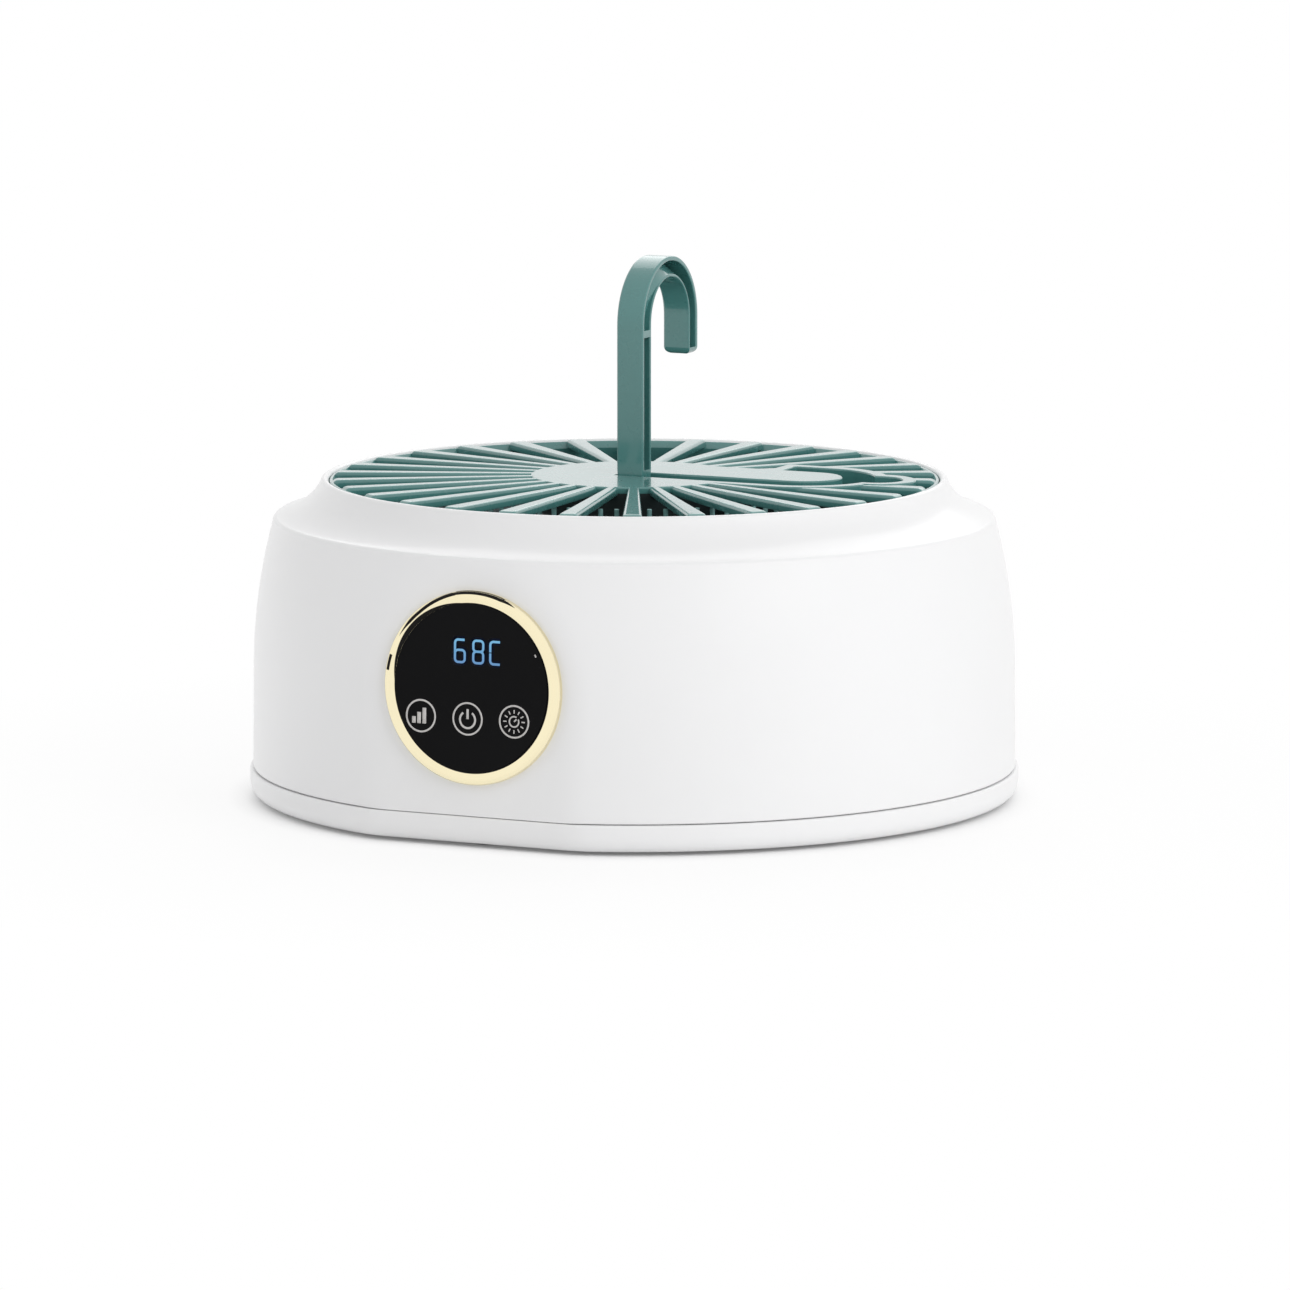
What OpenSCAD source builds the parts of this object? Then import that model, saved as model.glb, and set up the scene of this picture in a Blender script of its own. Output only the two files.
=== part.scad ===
// Hanging dryer head: a round hot-air dryer with a ribbed top grille, a folding hook and a round display.
// Millimetres, +Z up. The origin is on the drum's axis, on the surface that the feet stand on.
// The display faces -Y, the mains inlet faces +Y and the folded hook lies along +X.

/* [Housing] */
// Radius of the white wall just above the seam
drum_r = 129; // [127:0.5:131]
// Height of the seam between the housing and the base tray
seam_z = 10.4; // [9:0.1:12]
// Height of the wall, from the seam to the crease below the sloped shoulder
shoulder_h = 85.2; // [84:0.2:87]
// Inward run of the wall, from the seam to the crease
shoulder_in = 7; // [6:0.5:9]
// Height of the shoulder, from the crease to the top of the rolled rim
rim_h = 12.7; // [12:0.1:13.5]
// Inward run of the shoulder, from the crease to the rim's outside
rim_in = 16.2; // [15:0.1:17]
// Thickness of the moulded walls
wall_t = 2.6; // [2.2:0.1:3]
// Height at which the wall starts to curve in
barrel_z = 45; // [35:1:55]

/* [Display flat] */
// Depth of the display flat below the round wall, at the seam
flat_cut = 5; // [4:0.2:6]
// Backward lean of the display flat, in degrees
flat_lean = 1.5; // [0:0.1:2]
// Distance from the shoulder's crease down to the display's centre
display_drop = 42.6; // [40:0.2:45]
// Radius of the round lens
lens_r = 28.15; // [26:0.05:28.5]
// Width of the metallic ring round the lens
bezel_w = 4.5; // [3.5:0.1:5]

/* [Base tray] */
// Gap between the tray and the surface below it
tray_lift = 1.2; // [1:0.1:2]
// How far the tray's edge stands out from the housing
tray_proud = 0.8; // [0.4:0.1:1.5]
// Step from the fan duct in to the round warm-air outlet
outlet_step = 6.5; // [5:0.5:9]
// Radius of a rubber foot
foot_r = 8; // [6:0.5:9]

/* [Grille] */
// Number of radial ribs
rib_count = 30; // [24:1:36]
// Angle of the first rib from -Y towards +X, in degrees
rib_phase = 1.0; // [0:0.1:12]
// Width of a rib at the hub
rib_w_in = 3.8; // [3:0.1:4.5]
// Width of a rib at the outer ring
rib_w_out = 6.5; // [5:0.1:8]
// How far the flat hub stands above the housing's rim
hub_proud = 0.7; // [0.4:0.1:1.5]
// How far the grille's outer ring lies below the housing's rim
ring_drop = 0.6; // [0.2:0.1:1]
// Thickness of a rib below its upper face
rib_t = 3; // [2.5:0.1:6]
// How far the ribs' outer ends stand above the outer ring
rib_proud = 0.3; // [0.1:0.1:0.6]
// Radius that rounds off the ribs' outer ends
rib_nose_r = 2.4; // [1.5:0.1:3]
// Radius of the flat hub
hub_r = 35; // [32:0.5:38]

/* [Hook] */
// Width of the hook's bar, along the hinge's plane of swing
hook_w = 9.5; // [8:0.1:10]
// Thickness of the hook's bar, along the hinge pin
hook_t = 7; // [6:0.1:7.4]
// Outer radius of the hook's bend
hook_bend_r = 22; // [20:0.5:23]
// Length of the straight tip below the bend's centre
hook_tip = 13; // [8:0.5:16]
// Wall of the hook's channel section
hook_wall = 1.7; // [1.4:0.1:2.2]
// Radius of the hinge pin
pin_r = 2; // [1.5:0.1:2.5]
// Radial clearance of the pin in the hook's bore
pin_clearance = 0.05; // [0.02:0.01:0.09]

/* [Hook recess] */
// Clearance round the outer side of the folded hook
recess_gap = 1.5; // [1.3:0.1:2]
// Clearance inside the folded hook's bend
recess_inner_gap = 2.5; // [2:0.1:3.5]
// Radius of the finger notch past the bend
notch_r = 8.5; // [7:0.5:9]
// How far the finger notch reaches past the folded hook
notch_past = 11.35; // [10:0.05:13]
// Distance from the finger notch to the grille's outer ring
notch_margin = 11.5; // [9:0.5:13]
// Width of the flat border round the recess
border_w = 4.5; // [3.5:0.1:5]

/* [Fan and heater] */
// Space between the fan duct's inside and the drum's outside
duct_space = 50.5; // [50:0.5:53]
// Number of impeller blades
blade_count = 7; // [5:1:9]
// Pitch of the impeller blades, in degrees
blade_pitch = 32; // [25:1:40]
// Gap between blade tips and duct
tip_gap = 4; // [3:0.5:6]
// Radius of the motor shaft
shaft_r = 2.5; // [2:0.1:3]
// Number of finned heater bars
heater_bars = 5; // [3:2:5]

/* [Hidden] */
$fn = 96;
eps = 0.01;
far = 400;

// Housing
shoulder_z = seam_z + shoulder_h;
shoulder_r = drum_r - shoulder_in;
rim_z = shoulder_z + rim_h;
rim_r = shoulder_r - rim_in;
flat_d = drum_r - flat_cut;
wall_taper = 0.009;
barrel_k = (drum_r - shoulder_r - wall_taper * (shoulder_z - seam_z))
    / pow(shoulder_z - 2 - barrel_z, 2);
crease_r = 1.8;
rim_w = 2.75;
skirt_gap = 0.2;
ledge_z = rim_z - 14.9;
ledge_t = 2.8;
ledge_w = 4.45;
ledge_r = rim_r - rim_w - ledge_w;
wall_steps = 14;
neck_steps = 9;
arc_steps = 6;

// Seam
gasket_t = 0.6;
housing_z = seam_z + gasket_t;
gasket_inset = 1.0;
spigot_gap = 0.3;
spigot_t = 2.2;
spigot_h = 4.6;

// Tray
tray_r = drum_r + tray_proud;
tray_floor_t = 2.4;
tray_floor_z = tray_lift + tray_floor_t;
tray_round_w = 4;
tray_round_h = 5;
foot_ring_r = drum_r - 21;
foot_count = 6;
foot_sink = 1.2;

// Screws that join housing and tray
base_screw_count = 6;
base_screw_pcd_r = drum_r - 12;
boss_r = 5.2;
post_r = 4.5;
head_room_r = 3.7;
boss_top_z = seam_z - 0.8;
boss_web_t = 2.5;
post_h = 50.4;
post_web_t = 2.4;
screw_r = 1.5;
pilot_r = 1.5;
head_r = 3;
head_t = 2;

// Grille
ring_gap = 0.2;
ring_r = rim_r - rim_w - ring_gap;
ring_t = 2.85;
ring_in_r = ring_r - ring_t;
ring_edge_r = 0.8;
ring_top_z = rim_z - ring_drop;
hub_top_z = rim_z + hub_proud;
rib_end_z = ring_top_z + rib_proud;
rib_root = 4;
rib_sink = 0.05;
rib_tuck = 0.5;
hub_t = 2.5;
hub_skirt_z = ledge_z + 4.6;
hub_skirt_t = 2;
pan_wall = 2;
pivot_z = hub_top_z - hook_w / 2;
floor_gap = 0.3;
pan_floor_z = hub_top_z - hook_w - floor_gap;
border_t = 2;
grille_screw_count = 6;
grille_screw_r = ledge_r - 3.1;
grille_boss_r = 3.6;
grille_ear_r = 5;

// Hook
notch_x = ring_in_r - notch_margin;
bend_reach = notch_x - notch_past - recess_gap - hook_bend_r;
bend_z = pivot_z + bend_reach;
bend_y = hook_bend_r - hook_t / 2;
hook_web = 2;
bridge_t = 2.4;
foot_step = 0.15;
foot_room = 0.9;
notch_y = 22;
hinge_boss_r = 4;
washer_r = 3.6;
washer_t = 1;
washer_gap = 0.12;
boss_face_y = hook_t / 2 + washer_t + 0.25;

// Filter
mesh_t = 0.8;
mesh_r = ring_in_r - 0.1;
frame_w = 4;
frame_out_r = grille_screw_r - grille_boss_r - 1.9;
frame_in_r = frame_out_r - frame_w;
frame_t = 1.2;
guard_w = 4;
guard_r = frame_out_r - 28;
guard_pins = 72;
guard_pin_r = 0.8;
guard_gap = 0.4;
guard_top_z = (rib_end_z + hub_top_z) / 2 - rib_t - guard_gap;
guard_from = 45;
guard_to = 355;
guard_arms = 6;

// Display
display_h = shoulder_h - display_drop;
bezel_gap = 0.1;
bezel_r = lens_r + bezel_gap + bezel_w;
bezel_h = 2.7;
sleeve_t = 1.75;
sleeve_depth = 6;
lens_proud = 1.9;
lens_sink = 1.2;
shelf_w = 1.7;
board_t = 1.6;
display_board_z = -9;
display_post_r = lens_r + bezel_gap + sleeve_t + 3.2;
display_board_r = display_post_r + 2.8;
display_posts = [90, 210, 330];
display_boss_r = 2.6;
display_screw_r = 1;
display_screw_l = 5;
display_head_r = 1.9;
display_head_t = 1.4;
led_size = [27, 12, 5.9];
led_y = 12;
touch_x = 16.6;
touch_y = -10.6;
touch_r = 4;

// Fan, heater and outlet
duct_r = drum_r - duct_space;
duct_t = 2.5;
duct_top_z = ledge_z - ledge_t - 2.6;
fan_h = 20;
fan_z = duct_top_z - fan_h - 2;
fan_gap = 2;
motor_h = 24;
mount_t = 4;
motor_z = fan_z - fan_gap - motor_h;
mount_z = motor_z - mount_t;
duct_ledge_z = mount_z;
duct_ledge_t = 2;
duct_ledge_w = 4.5;
ear_count = 4;
ear_r = 6;
ear_post_r = 5;
ear_ring_r = duct_r + 8;
ear_z = 12;
ear_t = 3;
cutout_angle = -135;
cutout_pad = [4, 18, 18];
cutout_z = 25;
cutout_r = 8;
cutout_h = 4;
cutout_cap_r = 6;
cutout_cap_h = 5;
slip_gap = 0.2;
motor_r = 20;
motor_plate_r = motor_r + 7;
motor_screw_ring_r = 14;
motor_screw_turn = 22.5;
mount_rim_w = 3;
mount_arm_w = 5;
shaft_clearance = 0.05;
fan_hub_r = motor_r + 4;
blade_t = 2;
blade_root_w = 32;
shaft_top_z = fan_z + fan_h + 5;
nut_r = 5;
nut_t = 4;
outlet_r = duct_r - outlet_step;
outlet_flange_t = 1.6;
frame_z = tray_floor_z + outlet_flange_t;
heater_frame_top_z = duct_ledge_z - duct_ledge_t - 4;
heater_frame_w = 5;
heater_h = 12;
heater_lift = 9.8;
heater_z = frame_z + heater_lift;
heater_core_w = 6;
heater_fin_w = 14;
heater_fin_pitch = 5;
heater_fin_t = 1.6;
heater_pitch = 24;
crossbar_y = 35;
crossbar_w = 5;
crossbar_t = 3;
probe_r = 2;
probe_h = 9;
outlet_bar_w = 2.2;
outlet_bar_h = 3;
outlet_ring_pitch = 12;
outlet_first_ring_r = 22;
outlet_hub_r = 10;
outlet_rim_w = 4;
outlet_lift = 0.6;
outlet_spokes = 8;

// Power board, mains inlet
board_angle = 150;
board_gap = 15;
board_size = [28, 70, board_t];
board_in_r = drum_r - board_gap - board_size[0];
board_z = 16;
board_post_inset = 4;
board_post_r = 3;
board_post_foot_z = 5;
board_screw_l = 9;
transformer = [[4, -24, 0], [20, 22, 17]];
relay = [[5, 4, 0], [15, 11, 15]];
terminal = [[8, -33.5, 0], [12, 7, 9]];
capacitors = [[14, 20], [14, 29]];
capacitor_r = 4;
capacitor_h = 14;
inlet_z = 27;
inlet_flange = [26, 18, 1.5];
inlet_body = [20, 12];
inlet_depth = 18;
inlet_face_y = drum_r - 1.5;
inlet_slack = 0.15;
pad_size = [31, 4, 23];
contact_pitch = 8.6;
contact_r = 1.2;
contact_tail = 3;
contact_len = 19;
socket_r = 3.9;
socket_h = 5.8;
socket_depth = 12;

white = "#f1f1f2";
teal = "#5f8a87";
gold = "#dcc689";
black = "#17181a";
grey = "#8d9193";
steel = "#b9bcc0";
aluminium = "#c6c8cb";
board_green = "#2f6a49";

// ---------------------------------------------------------------- helpers

// Radius of the white wall's outside at height z
function wall_radius(z) = drum_r - wall_taper * (z - seam_z)
    - barrel_k * pow(max(0, z - barrel_z), 2);

// Point of a cubic curve through a and d, drawn towards b and c
function cubic(a, b, c, d, t) = pow(1 - t, 3) * a + 3 * t * pow(1 - t, 2) * b
    + 3 * t * t * (1 - t) * c + pow(t, 3) * d;

// Concave neck from the shoulder's crease (t = 0) up to the rim (t = 1), moved inwards by inset
function neck_point(t, inset = 0) = cubic(
    [shoulder_r - crease_r, shoulder_z],
    [shoulder_r - 9, shoulder_z + 2],
    [rim_r + 2.4, shoulder_z + 6.4],
    [rim_r, rim_z - rim_w / 2],
    t) - [inset * 0.7, inset * 0.7];

function arc(centre, r, from, to, steps = arc_steps) = [
    for (i = [0:steps]) let(a = from + (to - from) * i / steps) centre + r * [cos(a), sin(a)]];

module ring_of(count, r, start = 0) {
    for (i = [0:count - 1])
        rotate([0, 0, start + 360 * i / count])
            translate([r, 0, 0])
                children();
}

module tube(r_out, r_in, h) {
    difference() {
        cylinder(r = r_out, h = h);
        translate([0, 0, -1])
            cylinder(r = r_in, h = h + 2);
    }
}

// Places children on the display flat: local +Y points out of the flat's plane backwards into the drum
module flat_frame() {
    translate([0, -flat_d, seam_z])
        rotate([-flat_lean, 0, 0])
            children();
}

// Places children at the display's centre: local +Z leaves the flat, local +Y points up
module display_frame() {
    flat_frame()
        translate([0, 0, display_h])
            rotate([90, 0, 0])
                children();
}

// Everything behind a plane that is the display flat moved inwards by inset
module behind_flat(inset = 0) {
    flat_frame()
        translate([-far / 2, inset, -far / 2])
            cube([far, far, far]);
}

// Pan-head screw along +Z: its head lies below z = 0 and its shank above
module screw(shank) {
    difference() {
        union() {
            translate([0, 0, -head_t])
                cylinder(r = head_r, h = head_t, $fn = 32);
            cylinder(r = screw_r, h = shank, $fn = 32);
        }
        for (a = [0, 90])
            rotate([0, 0, a])
                translate([-2, -0.4, -head_t - eps])
                    cube([4, 0.8, 1]);
    }
}

// ---------------------------------------------------------------- housing and tray

module housing_outside() {
    wall = [for (i = [0:wall_steps])
        let(z = housing_z + (shoulder_z - crease_r - housing_z) * i / wall_steps) [wall_radius(z), z]];
    crease = arc([shoulder_r - crease_r, shoulder_z - crease_r], crease_r, 8, 90);
    neck = [for (i = [1:neck_steps]) neck_point(i / neck_steps)];
    rim = arc([rim_r - rim_w / 2, rim_z - rim_w / 2], rim_w / 2, 15, 180, 9);
    rotate_extrude($fn = 180)
        polygon(concat([[0, housing_z]], wall, crease, neck, rim, [[0, rim_z - rim_w / 2]]));
}

module housing_cavity() {
    wall = [for (i = [0:wall_steps])
        let(z = housing_z - eps + (shoulder_z - 4 - housing_z) * i / wall_steps)
        [wall_radius(z) - wall_t, z]];
    neck = [for (i = [1:neck_steps - 1]) neck_point(i / neck_steps, wall_t)];
    skirt_r = rim_r - skirt_gap;
    rotate_extrude($fn = 180)
        polygon(concat(
            [[0, housing_z - eps]], wall,
            [for (p = neck) if (p[0] > skirt_r + 0.5) p],
            [[skirt_r, ledge_z + 4], [skirt_r, ledge_z - ledge_t], [ledge_r, ledge_z - ledge_t],
             [ledge_r, ledge_z], [rim_r - rim_w, ledge_z], [rim_r - rim_w, rim_z + 1], [0, rim_z + 1]]));
}

module upper_housing() {
    color(white)
    difference() {
        union() {
            difference() {
                intersection() {
                    housing_outside();
                    behind_flat();
                }
                intersection() {
                    housing_cavity();
                    behind_flat(wall_t);
                }
            }
            // Posts for the tray's screws, each tied to the wall
            ring_of(base_screw_count, base_screw_pcd_r)
                translate([0, 0, boss_top_z]) {
                    cylinder(r = post_r, h = post_h, $fn = 48);
                    translate([0, -post_web_t / 2, spigot_h + 2])
                        cube([drum_r - wall_t - base_screw_pcd_r + 0.6, post_web_t, post_h - spigot_h - 2]);
                }
            // Ears under the ledge for the grille's screws
            ring_of(grille_screw_count, grille_screw_r, rib_phase - 90)
                translate([0, 0, ledge_z - ledge_t]) {
                    cylinder(r = grille_ear_r, h = ledge_t, $fn = 48);
                    translate([0, -grille_ear_r, 0])
                        cube([grille_ear_r + 1, 2 * grille_ear_r, ledge_t]);
                }
            // Posts for the display board
            display_frame()
                for (a = display_posts)
                    rotate([0, 0, a])
                        translate([display_post_r, 0, display_board_z + board_t])
                            cylinder(r = display_boss_r, h = -display_board_z - board_t - wall_t + 0.3,
                                     $fn = 32);
            // Flat pad behind the mains inlet
            translate([-pad_size[0] / 2, inlet_face_y - pad_size[1], inlet_z - pad_size[2] / 2])
                cube(pad_size);
        }
        ring_of(base_screw_count, base_screw_pcd_r)
            translate([0, 0, boss_top_z - eps])
                cylinder(r = pilot_r, h = 16, $fn = 32);
        ring_of(grille_screw_count, grille_screw_r, rib_phase - 90)
            translate([0, 0, ledge_z - ledge_t - 1])
                cylinder(r = screw_r + 0.2, h = ledge_t + 2, $fn = 32);
        display_frame() {
            translate([0, 0, -wall_t - 2])
                cylinder(r = lens_r + bezel_gap + sleeve_t + 0.15, h = wall_t + 4);
            for (a = display_posts)
                rotate([0, 0, a])
                    translate([display_post_r, 0, display_board_z])
                        cylinder(r = display_screw_r, h = display_screw_l, $fn = 32);
        }
        // Seat and hole for the mains inlet
        inlet_room(inlet_flange, inlet_face_y, 6, slip_gap);
        inlet_room(inlet_body, inlet_face_y - 10, 12, inlet_slack);
    }
}

// Room for a part of the mains inlet with a clearance all round
module inlet_room(size, start_y, depth, gap) {
    translate([-size[0] / 2 - gap, start_y, inlet_z - size[1] / 2 - gap])
        cube([size[0] + 2 * gap, depth, size[1] + 2 * gap]);
}

// Outer edge of the tray from its underside to the seam
function tray_edge() = concat(
    [for (i = [0:7]) let(a = -90 + 90 * i / 7)
        [tray_r - 0.4 - tray_round_w * (1 - cos(a)), tray_lift + tray_round_h * (1 + sin(a))]],
    [[tray_r, seam_z - 0.5], [tray_r - 0.3, seam_z]]);

// Straight block whose front face repeats the tray's edge along the display flat
module tray_flat_block() {
    back = tray_r - flat_d - 0.2;
    rotate([90, 0, 90])
        linear_extrude(height = far, center = true)
            polygon(concat(
                [[far / 2, tray_lift]],
                [for (p = tray_edge()) [-(p[0] - back), p[1]]],
                [[far / 2, seam_z]]));
}

module base_tray() {
    inner_r = drum_r - wall_t - spigot_gap;
    color(white)
    difference() {
        union() {
            intersection() {
                rotate_extrude($fn = 180)
                    polygon(concat([[0, tray_lift]], tray_edge(), [[0, seam_z]]));
                tray_flat_block();
            }
            // Spigot that centres the housing
            intersection() {
                translate([0, 0, seam_z - 1])
                    cylinder(r = inner_r, h = spigot_h + 1, $fn = 180);
                behind_flat(wall_t + spigot_gap);
            }
        }
        difference() {
            intersection() {
                translate([0, 0, tray_floor_z])
                    cylinder(r = inner_r - spigot_t, h = far, $fn = 180);
                behind_flat(wall_t + spigot_gap + spigot_t);
            }
            ring_of(base_screw_count, base_screw_pcd_r)
                cylinder(r = boss_r, h = boss_top_z, $fn = 48);
            ring_of(ear_count, ear_ring_r)
                cylinder(r = ear_post_r, h = ear_z, $fn = 48);
            board_posts(board_post_r, 0, board_z);
        }
        translate([0, 0, -1])
            cylinder(r = outlet_r, h = 20);
        ring_of(base_screw_count, base_screw_pcd_r) {
            cylinder(r = head_room_r, h = boss_top_z - boss_web_t, $fn = 48);
            cylinder(r = screw_r + 0.3, h = 40, $fn = 32);
        }
        ring_of(ear_count, ear_ring_r)
            translate([0, 0, tray_floor_z])
                cylinder(r = pilot_r, h = 20, $fn = 32);
        ring_of(foot_count, foot_ring_r, 30)
            cylinder(r = foot_r + 0.1, h = tray_lift + foot_sink, $fn = 64);
        board_posts(pilot_r, board_post_foot_z, board_z + 1);
    }
}

// Posts that carry the power board, or the holes in them and in the board
module board_posts(r, low_z, high_z) {
    rotate([0, 0, board_angle])
        for (x = [board_post_inset, board_size[0] - board_post_inset])
            for (y = [-1, 1])
                translate([board_in_r + x, y * (board_size[1] / 2 - board_post_inset), low_z])
                    cylinder(r = r, h = high_z - low_z, $fn = 32);
}

module seam_gasket() {
    color(black)
    difference() {
        intersection() {
            translate([0, 0, seam_z])
                cylinder(r = drum_r - gasket_inset, h = gasket_t, $fn = 180);
            behind_flat(gasket_inset);
        }
        intersection() {
            cylinder(r = drum_r - wall_t - 0.1, h = far, $fn = 180);
            behind_flat(wall_t + 0.1);
        }
    }
}

module rubber_feet() {
    color(black)
    ring_of(foot_count, foot_ring_r, 30) {
        cylinder(r1 = foot_r - 0.6, r2 = foot_r, h = 0.8, $fn = 64);
        translate([0, 0, 0.8])
            cylinder(r = foot_r, h = tray_lift + foot_sink - 0.8, $fn = 64);
    }
}

// ---------------------------------------------------------------- grille

// Plan of the recess that takes the folded hook, grown outwards by grow
module recess_plan(grow = 0) {
    out_r = hook_bend_r + recess_gap + grow;
    in_r = hook_bend_r - hook_t - recess_inner_gap - grow;
    left = hook_w / 2 + foot_room + grow;
    low_y = bend_y - out_r;
    slot = out_r - in_r;
    translate([-left, low_y])
        square([left + bend_reach, slot]);
    translate([bend_reach - hook_tip - recess_gap - grow, bend_y + in_r])
        square([hook_tip + recess_gap + grow, slot]);
    intersection() {
        translate([bend_reach, bend_y])
            difference() {
                circle(r = out_r);
                circle(r = in_r);
            }
        translate([bend_reach, bend_y - far / 2])
            square([far / 2, far]);
    }
    translate([notch_x - notch_r, notch_y])
        circle(r = notch_r + grow);
    translate([bend_reach + in_r + 6, notch_y - notch_r - grow])
        square([notch_x - notch_r - bend_reach - in_r - 6, 2 * (notch_r + grow)]);
}

// Plan of the flat island inside the hook's bend
module island_plan() {
    in_r = hook_bend_r - hook_t - recess_inner_gap;
    translate([hub_r - 10, bend_y - in_r])
        square([bend_reach - hub_r + 10, 2 * in_r]);
    translate([bend_reach, bend_y])
        circle(r = in_r);
}

// All radial ribs, before their tops are trimmed to the shallow dome
module ribs() {
    inner = hub_r - rib_root;
    outer = ring_in_r + 1;
    for (i = [0:rib_count - 1])
        rotate([0, 0, rib_phase - 90 + 360 * i / rib_count])
            translate([0, 0, ledge_z])
                linear_extrude(height = hub_top_z - ledge_z)
                    polygon([[inner, -rib_w_in / 2], [outer, -rib_w_out / 2],
                             [outer, rib_w_out / 2], [inner, rib_w_in / 2]]);
}

module top_grille() {
    rib_top_z = hub_top_z - rib_sink;
    color(teal)
    difference() {
        union() {
            rotate_extrude()
                polygon(concat(
                    [[ring_in_r, ledge_z], [ring_r, ledge_z]],
                    arc([ring_r - ring_edge_r, ring_top_z - ring_edge_r], ring_edge_r, 0, 90),
                    arc([ring_in_r + ring_edge_r, ring_top_z - ring_edge_r], ring_edge_r, 90, 180)));
            intersection() {
                ribs();
                rotate_extrude()
                    polygon(concat(
                        [[0, rib_top_z - rib_t], [hub_r, rib_top_z - rib_t],
                         [ring_in_r + rib_tuck, rib_end_z - rib_t],
                         [ring_in_r + rib_tuck, rib_end_z - rib_nose_r]],
                        arc([ring_in_r - rib_nose_r, rib_end_z - rib_nose_r], rib_nose_r, 0, 90),
                        [[hub_r, rib_top_z], [0, rib_top_z]]));
            }
            translate([0, 0, hub_top_z - hub_t])
                cylinder(r = hub_r, h = hub_t);
            translate([0, 0, hub_skirt_z])
                tube(hub_r, hub_r - hub_skirt_t, hub_top_z - hub_skirt_z - 1);
            translate([0, 0, hub_top_z - border_t])
                linear_extrude(height = border_t)
                    recess_plan(border_w);
            translate([0, 0, hub_top_z - border_t])
                linear_extrude(height = border_t)
                    island_plan();
            translate([0, 0, pan_floor_z - pan_wall])
                linear_extrude(height = hub_top_z - pan_floor_z + pan_wall - 0.5)
                    recess_plan(pan_wall);
            // Screw bosses under the ribs
            ring_of(grille_screw_count, grille_screw_r, rib_phase - 90)
                translate([0, 0, ledge_z + mesh_t]) {
                    cylinder(r = grille_boss_r, h = rib_end_z - rib_t / 2 - ledge_z - mesh_t, $fn = 48);
                    translate([0, -1.5, 0])
                        cube([6, 3, rib_end_z - rib_t / 2 - ledge_z - mesh_t]);
                }
        }
        difference() {
            translate([0, 0, pan_floor_z])
                linear_extrude(height = 20)
                    recess_plan(0);
            // Bosses beside the hook's foot
            for (side = [-1, 1])
                translate([0, side * boss_face_y, pivot_z])
                    rotate([-90 * side, 0, 0])
                        cylinder(r = hinge_boss_r, h = 4, $fn = 48);
        }
        translate([0, -20, pivot_z])
            rotate([-90, 0, 0])
                cylinder(r = pin_r, h = 40, $fn = 48);
        ring_of(grille_screw_count, grille_screw_r, rib_phase - 90)
            translate([0, 0, ledge_z - 1])
                cylinder(r = pilot_r, h = 9, $fn = 32);
    }
}

module filter_mesh() {
    color(grey)
    difference() {
        translate([0, 0, ledge_z])
            cylinder(r = mesh_r, h = mesh_t);
        ring_of(grille_screw_count, grille_screw_r, rib_phase - 90)
            translate([0, 0, ledge_z - 1])
                cylinder(r = screw_r + 0.2, h = 4, $fn = 32);
    }
}

module filter_frame() {
    color(teal)
    translate([0, 0, ledge_z + mesh_t]) {
        tube(frame_out_r, frame_in_r, frame_t);
        tube(guard_r + guard_w / 2, guard_r - guard_w / 2, frame_t);
        ring_of(guard_arms, guard_r)
            translate([0, -guard_w / 2, 0])
                cube([frame_out_r - guard_r - frame_w / 2, guard_w, frame_t]);
        for (i = [0:guard_pins - 1])
            let (a = 360 * i / guard_pins)
                if (a > guard_from && a < guard_to)
                    rotate([0, 0, a])
                        translate([guard_r, 0, 0])
                            cylinder(r = guard_pin_r, h = guard_top_z - ledge_z - mesh_t, $fn = 16);
    }
}

// ---------------------------------------------------------------- hook

// Outline of the hook in its own plane, drawn with x along +Y and y along +Z, shrunk by inset
module hook_plan(inset = 0) {
    t = hook_t / 2 - inset;
    translate([-t, pivot_z])
        square([2 * t, bend_z - pivot_z]);
    intersection() {
        translate([bend_y, bend_z])
            difference() {
                circle(r = hook_bend_r - inset);
                circle(r = hook_bend_r - hook_t + inset);
            }
        translate([bend_y - far / 2, bend_z])
            square([far, far / 2]);
    }
    translate([2 * bend_y - t, bend_z - hook_tip + inset])
        square([2 * t, hook_tip - inset]);
}

module hook() {
    pocket_z = pivot_z + hook_w / 2 + 1.6;
    color(teal)
    difference() {
        union() {
            rotate([90, 0, 90])
                linear_extrude(height = hook_w, center = true)
                    hook_plan();
            translate([0, -hook_t / 2, pivot_z])
                rotate([-90, 0, 0])
                    cylinder(r = hook_w / 2 - foot_step, h = hook_t, $fn = 64);
        }
        // Channel in the side that faces down when the hook is folded
        difference() {
            translate([-hook_w / 2 + hook_web, 0, 0])
                rotate([90, 0, 90])
                    linear_extrude(height = hook_w)
                        hook_plan(hook_wall);
            translate([-far / 2, -far / 2, pocket_z - far])
                cube([far, far, far]);
            translate([-hook_w / 2, -hook_t / 2, bend_z - bridge_t])
                cube([hook_w, hook_t, bridge_t]);
        }
        translate([0, -hook_t, pivot_z])
            rotate([-90, 0, 0])
                cylinder(r = pin_r + pin_clearance, h = 2 * hook_t, $fn = 48);
    }
}

module hook_pin() {
    low_y = bend_y - hook_bend_r - recess_gap - pan_wall;
    high_y = bend_y - (hook_bend_r - hook_t - recess_inner_gap) + pan_wall;
    color(steel)
        translate([0, low_y, pivot_z])
            rotate([-90, 0, 0])
                cylinder(r = pin_r, h = high_y - low_y, $fn = 48);
}

module hinge_washers() {
    color(grey)
    for (side = [-1, 1])
        translate([0, side * (hook_t / 2 + washer_gap) - (side < 0 ? washer_t : 0), pivot_z])
            rotate([-90, 0, 0])
                tube(washer_r, pin_r, washer_t);
}

// ---------------------------------------------------------------- display

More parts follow.
